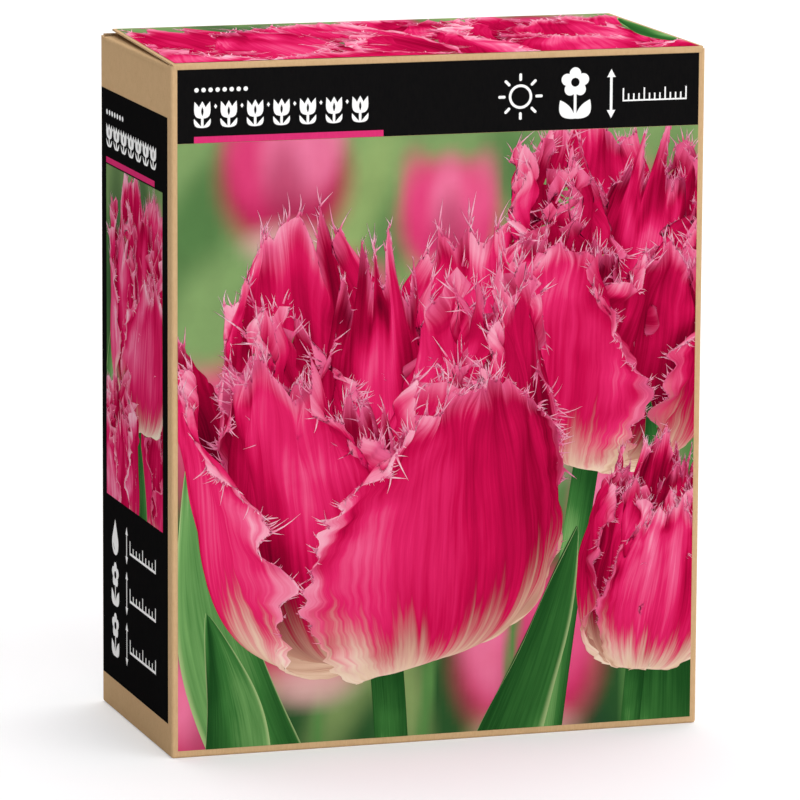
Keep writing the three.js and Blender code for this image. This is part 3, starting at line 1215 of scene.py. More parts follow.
@dataclass
class InkLayer:
    """Flat shapes of one ink on one face. Its level is 1 on the board, and one more over another ink."""

    LIFT = 0.02 * MM
    INSIDE_ONLY = 1
    MERGE = 1e-5

    name: str
    face: PrintFace
    finish: Finish
    level: int
    meshes: list[Mesh] = field(default_factory=list)

    def fill(self, *outlines: Outline) -> None:
        """Adds filled outlines, given in millimetres."""
        self.meshes += [mark_mesh(outline) for outline in outlines]

    def repeat(self, tree: Tree, mark: Outline, at: Pair, **inputs: object) -> None:
        """Adds a mark repeated by a tree.

        Args:
            tree: The tree.
            mark: The mark, drawn about zero.
            at: Where zero is on the face, in millimetres.
            inputs: The tree's own inputs.
        """
        made = run_tree(tree, mark_mesh(mark), {**inputs, "Ink": self.finish.material()})
        made.transform(Matrix.Translation((at[0] * MM, at[1] * MM, 0)))
        self.meshes.append(made)

    def row(
        self, mark: Outline, at: Pair, count: int, pitch: float, every: int = 999, tall: float = 1.0
    ) -> None:
        """Adds a row of one mark, a pitch apart, in which every so many is taller."""
        offset = (pitch * MM, 0.0, 0.0)
        self.repeat(mark_row(), mark, at, Count=count, Pitch=offset, Every=every, Tall=tall)

    def build(self) -> None:
        """Merges the layer's shapes into one piece on its face, in which none overlap."""
        points: list[Vector] = []
        outlines: list[list[int]] = []
        for shape in self.meshes:
            outlines += [[len(points) + corner for corner in polygon.vertices] for polygon in shape.polygons]
            points += [vertex.co.xy / MM for vertex in shape.vertices]
        merged, _, faces, *_ = delaunay_2d_cdt(points, [], outlines, self.INSIDE_ONLY, self.MERGE)
        mesh = plain_mesh(self.name, np.array([(x * MM, y * MM, 0) for x, y in merged]), faces)
        if mesh.polygons[0].normal.z < 0:
            mesh.flip_normals()
        mesh.materials.append(self.finish.material())
        bake_map(mesh)
        mesh.transform(self.face.matrix(self.LIFT * self.level))
        dress(link(mesh), self.face.body)


@dataclass
class FacePrint:
    """The flat inks of one face: a black panel, a pink bar, white marks and the hollows in them."""

    face: PrintFace
    panel: str

    def __post_init__(self) -> None:
        """Starts the four layers."""
        layers = (self.panel, Finish.BLACK, 1), ("bar", Finish.PINK, 2), ("marks", Finish.WHITE, 2)
        self.layers = [
            InkLayer(f"{self.face.name}_{name}", self.face, finish, level)
            for name, finish, level in (*layers, ("hollows", Finish.BLACK, 3))
        ]
        self.black, self.pink, self.white, self.dark = self.layers

    def build(self) -> None:
        """Prints the four layers."""
        for layer in self.layers:
            layer.build()
        log.info("%s: flat inks", self.face.name)

    def sun(self, x: float, y: float) -> None:
        """A ring with eight rays round it."""
        self.white.fill(oval(x, y, 3.35))
        self.dark.fill(oval(x, y, 2.6))
        self.white.repeat(mark_ring(), box(-0.4, 4.25, 0.4, 6.35, 0.38), (x, y), Count=8)

    def flower(self, x: float, low: float, height: float) -> None:
        """A round-petalled flower on a short stem, between two leaves."""
        s = height / 14.0
        head = low + 10.2 * s
        self.white.repeat(mark_ring(), oval(0, 2.3 * s, 1.68 * s, 1.8 * s), (x, head), Count=5)
        self.white.fill(oval(x, head, 1.9 * s))
        self.dark.fill(oval(x, head, 1.2 * s))
        self.white.fill(box(x - 0.4 * s, low + 0.6 * s, x + 0.4 * s, head - 2 * s))
        for side in (-1, 1):
            foot, tip = (x - side * 0.1 * s, low + 0.25 * s), (x + side * 4.3 * s, low + 5.4 * s)
            self.white.fill(blade(foot, tip, -side * 2.5 * s, side * 0.9 * s))

    def drop(self, x: float, low: float, height: float) -> None:
        """A drop of water with a glint."""
        radius = height * 0.33
        self.white.fill(water_drop(x, low + radius, radius, height - radius))
        start, end = (x - radius * 0.62, low + radius), (x - 0.05 * radius, low + 0.4 * radius)
        self.dark.fill(blade(start, end, -0.42, -0.12))

    def measure(self, x: float, low: float, high: float, ruler: tuple) -> None:
        """An upright arrow with two heads, and beside it a scale with a taller tick at every fourth step.

        Args:
            x: The arrow's place.
            low: Its lower end.
            high: Its upper end.
            ruler: The scale's left end, height, length, steps and stroke.
        """
        self.white.fill(double_arrow(x, low, high, 0.75, 2.5))
        left, base, length, steps, stroke = ruler
        tick = box(0, 0, stroke, 1.7)
        self.white.row(tick, (left, base), steps + 1, (length - stroke) / steps, 4, 1.9)
        self.white.fill(box(left, base - stroke, left + length, base))

    def title(self, left: float, low: float, height: float, wide: float, pitch: float) -> None:
        """A row of simple tulips and leaves, in the place of a name.

        Args:
            left: The row's left end.
            low: Its foot.
            height: The height of one tulip.
            wide: Its width.
            pitch: From one to the next.
        """
        first, count = (left + wide / 2, low), 7
        self.white.row(tulip(height * 0.36, wide, height * 0.64), first, count, pitch)
        self.white.row(box(-0.08 * wide, 0.1, 0.08 * wide, height * 0.42), first, count, pitch)
        for side in (-1, 1):
            tip = (side * wide * 0.5, height * 0.36)
            leaf = blade((0, 0.02 * height), tip, -side * 0.15 * height, 0.0)
            self.white.row(leaf, first, count, pitch)
        slot = blade((0, height * 0.46), (0, height * 0.78), 0.07 * wide, -0.07 * wide)
        self.dark.row(slot, first, count, pitch)
        lozenge = [(0, -0.09 * height), (0.1 * wide, 0), (0, 0.09 * height), (-0.1 * wide, 0)]
        self.white.row(lozenge, (first[0] + pitch / 2, low + height * 0.8), count - 1, pitch)

    def header(self, high: float) -> None:
        """The black header of a wide panel, up to a height: title, sun and height mark."""
        self.black.fill(box(-74, 168.3, 74, high))
        self.pink.fill(box(-69.4, 168.35, -16.4, 170.1))
        self.sun(22.5, 177.8)
        self.measure(48.6, 171.0, 184.5, (51.9, 175.9, 18.6, 12, 0.42))
        self.title(-69.4, 172.3, 7.3, 4.6, 7.35)
        self.white.row(oval(0, 0, 0.62), (-68.7, 182.6), 8, 1.95)

    def front(self) -> None:
        """The front panel's header."""
        self.header(188.15)
        self.flower(38.2, 171.0, 14.0)
        self.build()

    def side(self, shift: float) -> None:
        """The black panel of a side wall, above and below its picture, moved to the right by a shift."""
        self.black.fill(box(shift - 35.4, 9, shift + 33.0, 175))
        self.pink.fill(box(shift - 30.5, 154.5, shift + 20.0, 156.15))
        self.title(shift - 30.3, 159.0, 6.6, 6.1, 7.65)
        self.white.row(oval(0, 0, 0.85, 0.75), (shift - 29.5, 168.7), 7, 2.75)
        self.drop(shift - 22.0, 44.9, 10.2)
        for low in (30.2, 15.7):
            self.flower(shift - 22.0, low, 12.4)
        for low, high in ((44.6, 55.2), (30.2, 42.6), (15.7, 28.1)):
            self.measure(shift - 9.8, low, high, (shift - 6.6, (low + high) / 2 - 1.2, 27.2, 8, 0.75))
        self.build()

    def back(self) -> None:
        """The back panel: header, planting depth, a strip of twelve months and a row of signs."""
        self.header(187.6)
        self.drop(38.2, 172.2, 11.4)
        self.black.fill(box(-74, 2, 74, 61))
        self.white.row(box(0, 0, 9.6, 5.2, 0.9), (-65.4, 9.5), 12, 11.1)
        self.dark.row(box(0.5, 0.5, 9.1, 4.7, 0.6), (-65.4, 9.5), 8, 11.1)
        self.pink.row(box(0, 15.5, 9.6, 16.7), (-21.0, 0), 3, 11.1)
        self.white.fill(box(-66, 37.2, 0, 37.75))
        for x, low in ((-54, 22.6), (-36, 24.6), (-18, 26.6)):
            self.white.fill(water_drop(x, low + 3.4, 3.4, 7.6))
            self.dark.fill(blade((x, low + 0.6), (x, low + 9.4), 0.4, -0.4))
        self.white.row(blade((0, 0), (2.1, 6.5), 0.9, -0.2), (-54, 38.6), 3, 18)
        self.white.row(blade((0, 0), (-2.1, 5.4), 0.2, -0.9), (-54, 38.6), 3, 18)
        self.white.fill(double_arrow(-8, 22.6, 37.0, 0.75, 2.5))
        self.white.row(box(-0.17, 0, 0.17, 1.7), (-63.0, 19.6), 30, 1.9, 5, 1.5)
        for x in (16, 36, 56):
            self.flower(x, 27.0, 17.0)
        self.build()


# ---- the garden picture


@dataclass
class ArtPart:
    """A modelled part of a picture, in millimetres: right, up and towards the viewer."""

    ink: PictureFinish
    points: Array
    faces: Array
    uv: Array
    values: dict[str, Array] = field(default_factory=dict)

    def value(self, name: str) -> Array:
        """One of the part's numbers for each vertex, or zeros."""
        return self.values.get(name, np.zeros(len(self.points)))


@dataclass(frozen=True)
class Pose3D:
    """How a modelled flower stands in its picture."""

    x: float
    y: float
    depth: float
    lean: float = 0.0
    pitch: float = 14.0
    size: float = 1.0

    def apply(self, points: Array) -> Array:
        """Turns and moves points.

        Args:
            points: Rows of right, towards the viewer and up, from the flower's foot.

        Returns:
            Rows of right, up and towards the viewer.
        """
        (c, s), (lean_c, lean_s) = turned(self.pitch), turned(self.lean)
        side, front, up = points[:, 0], points[:, 1], points[:, 2]
        high, near = up * c - front * s, up * s + front * c
        moved = np.stack([side * lean_c + high * lean_s, high * lean_c - side * lean_s, near], 1)
        return moved * self.size + np.array((self.x, self.y, self.depth))


@dataclass(frozen=True)
class PetalKind:
    """The build of one ring of petals, as shares of the flower's height and reach unless said otherwise."""

    height: float
    width: float
    reach: float
    profile: tuple[float, float, float, float, float]
    bow: float
    crumple: float
    waves: float
    groove: float
    notch: float
    fringe: float


OUTER = PetalKind(0.97, 2.02, 1.0, (0.10, 0.98, 1.14, 1.02, 0.98), 1.10, 2.6, 1.6, 1.7, 0.07, 5.2)
INNER = PetalKind(1.02, 1.74, 0.84, (0.12, 0.90, 1.08, 1.04, 0.92), 1.02, 3.2, 2.0, 1.8, 0.09, 5.6)
HEART = PetalKind(0.95, 1.16, 0.54, (0.20, 0.60, 0.90, 1.10, 1.16), 0.90, 4.4, 3.0, 1.6, 0.13, 5.2)


@dataclass(frozen=True)
class Petal:
    """One petal of a cup-shaped tulip, in millimetres, standing on the flower's foot."""

    kind: PetalKind
    angle: float
    height: float
    reach: float
    flare: float
    seed: int

    RISE = (0.0, -0.03, 0.26, 0.66, 1.0)
    SPIKES_FROM = 0.40

    @staticmethod
    def rim(across: Array, along: Array, side_band: float, top_band: float) -> Array:
        """How near the margin a point is: 0 inside the bands, rising to 1 at the very edge."""
        return 1 - np.minimum(np.minimum((1 - np.abs(across)) / side_band, (1 - along) / top_band), 1)

    def surface(self, across: Array, along: Array) -> Array:
        """The petal's surface.

        Args:
            across: From -1 to 1 over the petal's width.
            along: From 0 at the foot to 1 at the top edge.

        Returns:
            Rows of right, towards the viewer and up.
        """
        kind = self.kind
        height, reach = self.height * kind.height, self.reach * kind.reach
        radius, high = np.zeros_like(along), np.zeros_like(along)
        for step, (r, h) in enumerate(zip(kind.profile, self.RISE)):
            weight = math.comb(4, step) * along**step * (1 - along) ** (4 - step)
            radius, high = radius + weight * r, high + weight * h
        radius, high = radius * reach, high * height
        upper = np.clip((along - 0.55) / 0.45, 0, 1)
        full = (0.22 + 0.78 * np.sin(np.clip(along / 0.60, 0, 1) * math.pi / 2)) * (1 - 0.44 * upper**1.7)
        ragged = Ripple(self.seed + 7, 9, 13).at(along * 1.6, np.sign(across) * 0.7)
        half = kind.width * self.reach / 2 * full * (1 + 0.030 * np.abs(across) ** 3 * ragged)
        bow = reach * kind.bow
        turn = across * half / bow
        fray = self.rim(across, along, 0.55, 0.45) ** 1.4
        crumpled = across * 0.62, along * 0.85
        lift = kind.crumple * fray * Ripple(self.seed, 7, 5.5).at(*crumpled)
        lift += kind.crumple * 0.55 * fray**2 * Ripple(self.seed + 1, 8, 12).at(*crumpled)
        lift += kind.waves * (0.25 + along) * Ripple(self.seed + 3, 5, 2.2).at(across * 0.55, along * 0.5)
        lift -= kind.groove * np.exp(-((across / 0.12) ** 2)) * np.sin(along * math.pi * 0.85)
        lift += self.flare * reach * np.clip((along - 0.60) / 0.40, 0, 1) ** 2
        out, side = radius - bow + bow * np.cos(turn) + lift, bow * np.sin(turn)
        high = high - height * 0.19 * upper**1.4 * np.abs(across) ** 2.4
        lobes = 0.5 + 0.5 * Ripple(self.seed + 5, 7, 5).at(across * 0.8, 0 * along)
        high = high - height * kind.notch * upper**2 * lobes
        high = high + height * 0.014 * upper**3 * Ripple(self.seed + 6, 9, 16).at(across * 0.8, 0 * along)
        c, s = turned(self.angle)
        return np.stack([side * c + out * s, out * c - side * s, high], -1)

    def part(self, pose: Pose3D, fineness: tuple[int, int]) -> ArtPart:
        """Builds the petal in its picture.

        Args:
            pose: How the flower stands.
            fineness: Rows and columns of faces.

        Returns:
            The part.
        """
        rows, columns = fineness
        along = np.repeat((1 - (1 - np.linspace(0, 1, rows + 1)) ** 1.35)[:, None], columns + 1, 1)
        across = np.repeat(np.sin(np.linspace(-1, 1, columns + 1) * math.pi / 2)[None, :], rows + 1, 0)
        points = pose.apply(self.surface(across, along).reshape(-1, 3))
        shift = self.seed * 3.7
        uv = np.stack([across * 0.5 + shift, along + shift * 0.3], -1).reshape(-1, 2)
        rim = self.rim(across, along, 0.20, 0.13)
        values = {"along": along.ravel(), "across": rim.ravel(), "side": np.abs(across).ravel()}
        return ArtPart(PictureFinish.PETAL, points, grid_faces(rows + 1, columns + 1), uv, values)

    def margin(self, pose: Pose3D, count: int) -> dict[str, Array]:
        """Where the fringe grows on the petal's edge.

        Args:
            pose: How the flower stands.
            count: How many spikes.

        Returns:
            Rows of place, direction and bend, and a size for each spike.
        """
        random = np.random.default_rng(self.seed + 100)
        share = np.sort(random.uniform(0.0, 1.0, count))
        along = self.SPIKES_FROM + (1 - self.SPIKES_FROM) * np.clip(np.minimum(share, 1 - share) / 0.30, 0, 1)
        across = np.clip((share - 0.5) / 0.20, -1, 1)
        at = self.surface(across, along)
        beside = unit(at - self.surface(across * 0.93, along))
        below = unit(at - self.surface(across, along - 0.04))
        on_side = (np.abs(across) > 0.999)[:, None]
        way = np.where(on_side, beside * 0.9 + below * 0.5, below + beside * 0.45 * np.abs(across[:, None]))
        way = unit(way + random.normal(0, 0.27, way.shape))
        size = self.kind.fringe * (0.16 + 0.84 * random.random(count) ** 2.0)
        size *= np.where(random.random(count) < 0.10, 1.6, 1.0) * (0.4 + 0.6 * smooth_step(along, 0.4, 0.8))
        size *= self.reach / 46
        bend = random.normal(0, 0.18, way.shape) * size[:, None] + below * size[:, None] * 0.15
        still = replace(pose, x=0, y=0, depth=0)
        place, way = pose.apply(at - way * 0.4), still.apply(way) / pose.size
        return {"place": place, "way": way, "bend": still.apply(bend), "size": size * pose.size}


@dataclass(frozen=True)
class Bloom:
    """A whole flower: three outer petals, three inner ones and a crumpled heart."""

    pose: Pose3D
    turn: float = 0.0
    height: float = 88.0
    reach: float = 37.0
    flare: float = 0.08
    seed: int = 1
    heart: int = 6
    fineness: tuple[int, int] = (72, 52)
    spikes: int = 420

    def petals(self) -> list[Petal]:
        """The flower's petals, each a little different from the others."""
        random = np.random.default_rng(self.seed)
        made = []
        for kind, count, start in ((OUTER, 3, 0.0), (INNER, 3, 60.0), (HEART, self.heart, 25.0)):
            for step in range(count):
                angle = self.turn + start + step * 360 / count + random.uniform(-7, 7)
                low_front = 1 - 0.09 * math.cos(math.radians(angle))
                height = self.height * low_front * random.uniform(0.96, 1.03)
                flare = self.flare + random.uniform(-0.09, 0.10)
                made.append(Petal(kind, angle, height, self.reach, flare, self.seed * 31 + len(made)))
        return made

    def parts(self) -> list[ArtPart]:
        """Builds the petals, and the fringe on them as one part: a spike from every root on their margins."""
        petals = self.petals()
        parts = [petal.part(self.pose, self.fineness) for petal in petals]
        margins = [petal.margin(self.pose, self.spikes) for petal in petals]
        roots = {key: np.concatenate([m[key] for m in margins]) for key in margins[0]}
        seed = plain_mesh("fringe_roots", roots["place"], [])
        for name, kind in (("way", "FLOAT_VECTOR"), ("bend", "FLOAT_VECTOR"), ("size", "FLOAT")):
            set_values(seed, name, roots[name], kind)
        inputs = {"Sides": 5, "Slimness": 0.115, "Ink": PictureFinish.FRINGE.material()}
        made = run_tree(fringe_tree(), seed, inputs)
        tip = np.zeros(len(made.vertices), np.float32)
        made.attributes["tip"].data.foreach_get("value", tip)
        points, faces = points_of(made), corners_of(made).reshape(-1, 4)
        values = {"tip": tip.astype(float)}
        return [*parts, ArtPart(PictureFinish.FRINGE, points, faces, points[:, :2] * 0.1, values)]


@dataclass(frozen=True)
class Leaf:
    """A broad folded leaf, or without a fold a round stem, that follows a curve from its foot to its tip."""

    foot: Place
    middle: Place
    tip: Place
    width: float
    fold: float = 0.0
    roll: float = 0.0
    seed: int = 1

    def part(self, fineness: tuple[int, int]) -> ArtPart:
        """Builds the leaf.

        Args:
            fineness: Rows and columns of faces.

        Returns:
            The part.
        """
        rows, columns = fineness
        along = np.linspace(0, 1, rows + 1)[:, None]
        across = np.linspace(-1, 1, columns + 1)[None, :]
        foot, middle, tip = (np.array(p, float) for p in (self.foot, self.middle, self.tip))
        share = along[..., None]
        spine = (1 - share) ** 2 * foot + 2 * share * (1 - share) * middle + share**2 * tip
        course = unit(2 * (1 - share) * (middle - foot) + 2 * share * (tip - middle))
        side = unit(np.stack([course[..., 1], -course[..., 0], np.zeros_like(course[..., 0])], -1))
        front = np.cross(side, course)
        angle = math.radians(self.roll) * (1 + 0.8 * share)
        c, s = np.cos(angle), np.sin(angle)
        side, front = side * c + front * s, front * c - side * s
        if self.fold:
            half = self.width / 2 * np.sin(np.pi * np.clip(0.16 + 0.84 * along, 0, 1) ** 0.9) ** 0.8
            wave = Ripple(self.seed, 5, 2.4).at(along + 0 * across, across * 0.4 + 0 * along)
            lift = self.fold * (np.abs(across) ** 1.6 - 0.4) * half / self.width * 2
            lift = lift + wave * 0.9 * np.abs(across) ** 2
            points = spine + side * (across * half)[..., None] + front * lift[..., None]
        else:
            turn = across[..., None] * math.pi / 2
            points = spine + self.width / 2 * (side * np.sin(turn) + front * np.cos(turn))
        edge = np.abs(across) * bool(self.fold) + 0 * along
        uv = np.stack([across * 0.5 + self.seed * 2.3 + 0 * along, along * 2 + 0 * across], -1)
        values = {"across": edge.ravel(), "along": (along + 0 * across).ravel()}
        faces = grid_faces(rows + 1, columns + 1)
        return ArtPart(PictureFinish.LEAF, points.reshape(-1, 3), faces, uv.reshape(-1, 2), values)


@dataclass(frozen=True)
class Blot:
    """A soft patch of colour far out of focus."""

    x: float
    y: float
    wide: float
    high: float
    colour: Colour
    turn: float = 0.0
    soft: float = 0.5
    strength: float = 1.0

    def cover(self, x: Array, y: Array) -> Array:
        """How much of each point the patch covers."""
        c, s = turned(self.turn)
        a, b = (x - self.x) * c + (y - self.y) * s, (y - self.y) * c - (x - self.x) * s
        away = np.sqrt((a / self.wide) ** 2 + (b / self.high) ** 2)
        return self.strength * (1 - smooth_step(away, 1 - self.soft, 1 + self.soft))


@dataclass
class Backdrop:
    """The garden behind: greens in drifts, with blurred blooms, stems and leaves.

    Its frame is the picture's left, low, right and high, in millimetres.
    """

    LOW, MIDDLE, HIGH = tone(44, 84, 44), tone(84, 122, 70), tone(126, 156, 98)
    SHADE, GLOW, STALK = tone(34, 66, 44), tone(158, 180, 112), tone(86, 132, 70)
    BODIES = tone(196, 40, 92), tone(214, 58, 112), tone(178, 28, 78)
    LIT = tone(232, 92, 140), tone(224, 70, 124), tone(240, 128, 166)
    FOLD, FOOT = tone(150, 16, 62), tone(240, 206, 196)

    frame: Frame
    seed: int
    blooms: int
    sizes: Pair = (12, 19)
    blots: list[Blot] = field(default_factory=list)

    def __post_init__(self) -> None:
        """Scatters the blurred blooms by a seeded rule."""
        random = np.random.default_rng(self.seed)
        left, low, right, high = self.frame
        for _ in range(self.blooms + 4):
            x, y = random.uniform(left, right), random.uniform(low, high)
            colour = self.SHADE if random.random() < 0.55 else self.GLOW
            wide, tall = random.uniform(3, 8), random.uniform(22, 60)
            self.blots.append(Blot(x, y, wide, tall, colour, random.uniform(-35, 35), 0.6, 0.6))
        for step in range(self.blooms):
            x = left + (right - left) * ((step * 0.618 + random.uniform(-0.06, 0.06)) % 1)
            y = low + (high - low) * (step + 0.5 + random.uniform(-0.3, 0.3)) / self.blooms
            self.add_bloom(x, y, random.uniform(*self.sizes), random)

    def add_bloom(self, x: float, y: float, size: float, random: np.random.Generator) -> None:
        """Adds one blurred bloom: a stem, a dark body and brighter petals on it."""
        lean = random.uniform(-6, 6)
        self.blots.append(Blot(x + 1, y - size * 2.2, 1.8, size * 1.8, self.STALK, lean))
        body = self.BODIES[random.integers(3)]
        self.blots.append(Blot(x, y, size * 0.92, size * 1.08, body, random.uniform(-12, 12), 0.30))
        for side in (-1, 0, 1):
            lit = self.LIT[random.integers(3)]
            px, py = x + side * size * 0.5, y + size * random.uniform(0.1, 0.5)
            self.blots.append(Blot(px, py, size * 0.34, size * 0.7, lit, -side * 14, 0.55, 0.75))
        self.blots.append(Blot(x, y - size * 0.25, size * 0.3, size * 0.6, self.FOLD, 0, 0.7, 0.6))
        self.blots.append(Blot(x, y - size * 0.95, size * 0.5, size * 0.28, self.FOOT, 0, 0.7, 0.55))

    def tint(self, x: Array, y: Array) -> Array:
        """The backdrop's colour.

        Args:
            x: Right, in millimetres.
            y: Up, in millimetres.

        Returns:
            Rows of linear red, green and blue.
        """
        _, low, _, high = self.frame
        share = (y - low) / (high - low) + 0.22 * Ripple(self.seed, 6, 1.5).at(x / 60, y / 80)
        colour = np.array(self.LOW)
        covers = [(smooth_step(share, 0.0, 0.5), self.MIDDLE), (smooth_step(share, 0.5, 1.0), self.HIGH)]
        covers += [(blot.cover(x, y), blot.colour) for blot in self.blots]
        for cover, over in covers:
            colour = colour * (1 - cover[:, None]) + np.array(over) * cover[:, None]
        return colour

    def part(self, step: float) -> ArtPart:
        """Builds the backdrop as a fine grid behind everything else.

        Args:
            step: The grid's size in millimetres.

        Returns:
            The part.
        """
        left, low, right, high = self.frame
        columns, rows = max(2, round((right - left) / step)), max(2, round((high - low) / step))
        x, y = np.meshgrid(np.linspace(left, right, columns + 1), np.linspace(low, high, rows + 1))
        points = np.stack([x.ravel(), y.ravel(), np.full(x.size, -1e3)], 1)
        faces, values = grid_faces(rows + 1, columns + 1), {"tint": self.tint(x.ravel(), y.ravel())}
        return ArtPart(PictureFinish.GROUND, points, faces, points[:, :2] * 0.01, values)


@dataclass
class PictureLight:
    """The light in a picture: which faces the viewer sees, and how brightly each point is lit."""

    SUN = np.array((-0.46, 0.62, 0.64))
    SUN_SPREAD = np.array(((0, 0, 0), (0.16, 0.02, -0.08), (-0.10, 0.14, 0.05), (-0.04, -0.16, 0.10)))
    AMBIENT = 0.20
    DIRECT = 0.58
    THROUGH = 0.16
    SKY_RAYS = 14
    GOLDEN_TURN = 2.399963
    CULL_FROM = 0.3
    LIGHT_FROM = 0.35
    REACH_SKY = 20.0
    REACH_SUN = 60.0

    parts: Sequence[ArtPart]

    def __post_init__(self) -> None:
        """Gathers the parts into one tree for ray casting."""
        solid = [part for part in self.parts if part.ink is not PictureFinish.FRINGE]
        points, faces = joined(solid)
        self.cast = BVHTree.FromPolygons(points.tolist(), faces.tolist()).ray_cast
        self.sun = unit(self.SUN)
        self.suns = [Vector(self.sun + way) for way in self.SUN_SPREAD]
        turns = np.arange(self.SKY_RAYS) * self.GOLDEN_TURN
        heights = np.sqrt((np.arange(self.SKY_RAYS) + 0.5) / self.SKY_RAYS)
        flat = np.sqrt(1 - heights**2)
        self.sky = np.stack([flat * np.cos(turns), flat * np.sin(turns), heights], 1)

    def cull(self, part: ArtPart) -> ArtPart:
        """Drops the faces that other parts hide from the viewer.

        Args:
            part: The part.

        Returns:
            What is seen of the part.
        """
        toward = Vector((0, 0, 1))
        lifted = part.points + np.array((0, 0, self.CULL_FROM))
        seen = np.array([self.cast(Vector(point), toward)[0] is None for point in lifted])
        kept = part.faces[seen[part.faces].any(1)]
        used = np.unique(kept)
        renumber = np.full(len(part.points), -1)
        renumber[used] = np.arange(len(used))
        values = {key: value[used] for key, value in part.values.items()}
        return ArtPart(part.ink, part.points[used], renumber[kept], part.uv[used], values)

    @staticmethod
    def normals(part: ArtPart) -> Array:
        """The part's vertex normals, turned towards the viewer."""
        corner = part.points[part.faces]
        face = np.cross(corner[:, 2] - corner[:, 0], corner[:, 3] - corner[:, 1])
        face *= np.where(face[:, 2:] < 0, -1, 1)
        total = np.zeros_like(part.points)
        for k in range(4):
            np.add.at(total, part.faces[:, k], face)
        return unit(total)

    def shade(self, part: ArtPart, glow: float) -> None:
        """Works out how brightly each vertex is lit, and stores it as the part's light.

        Args:
            part: The part.
            glow: What is added all over.
        """
        normals = self.normals(part)
        helper = np.where(np.abs(normals[:, 1:2]) < 0.9, np.array((0.0, 1.0, 0.0)), np.array((1.0, 0.0, 0.0)))
        side = unit(np.cross(helper, normals))
        start = part.points + normals * self.LIGHT_FROM
        open_sky, sunlit = np.zeros(len(start)), np.zeros(len(start))
        ways = self.sky @ np.stack([side, np.cross(normals, side), normals], 1)
        for index, (origin, fan) in enumerate(zip(start.tolist(), ways.tolist())):
            at = Vector(origin)
            open_sky[index] = sum(self.cast(at, Vector(way), self.REACH_SKY)[0] is None for way in fan)
            sunlit[index] = sum(self.cast(at, way, self.REACH_SUN)[0] is None for way in self.suns)
        open_sky, sunlit = open_sky / self.SKY_RAYS, sunlit / len(self.suns)
        facing = normals @ self.sun
        direct = np.clip(facing * 0.85 + 0.15, 0, 1) * (0.35 + 0.65 * sunlit)
        through = np.clip(-facing + 0.3, 0, 1) * 0.6
        light = self.AMBIENT * (0.3 + 0.9 * open_sky) + self.DIRECT * direct * (0.45 + 0.55 * open_sky)
        light += self.THROUGH * through * open_sky + 0.10 * (normals[:, 2] * open_sky)
        part.values["light"] = self.smoothed(part, light) + glow

    @staticmethod
    def smoothed(part: ArtPart, light: Array) -> Array:
        """Evens out the light a little between neighbours."""
        for _ in range(2):
            total, count = light.copy(), np.ones(len(light))
            for a, b in ((0, 1), (1, 2), (2, 3), (3, 0)):
                for first, second in ((a, b), (b, a)):
                    np.add.at(total, part.faces[:, first], light[part.faces[:, second]])
                    np.add.at(count, part.faces[:, first], 1)
            light = total / count
        return light


def joined(parts: Sequence[ArtPart]) -> tuple[Array, Array]:
    """The points and the faces of several parts, numbered as one."""
    firsts = np.cumsum([0, *(len(part.points) for part in parts)])
    faces = [part.faces + first for part, first in zip(parts, firsts)]
    return np.concatenate([part.points for part in parts]), np.concatenate(faces)


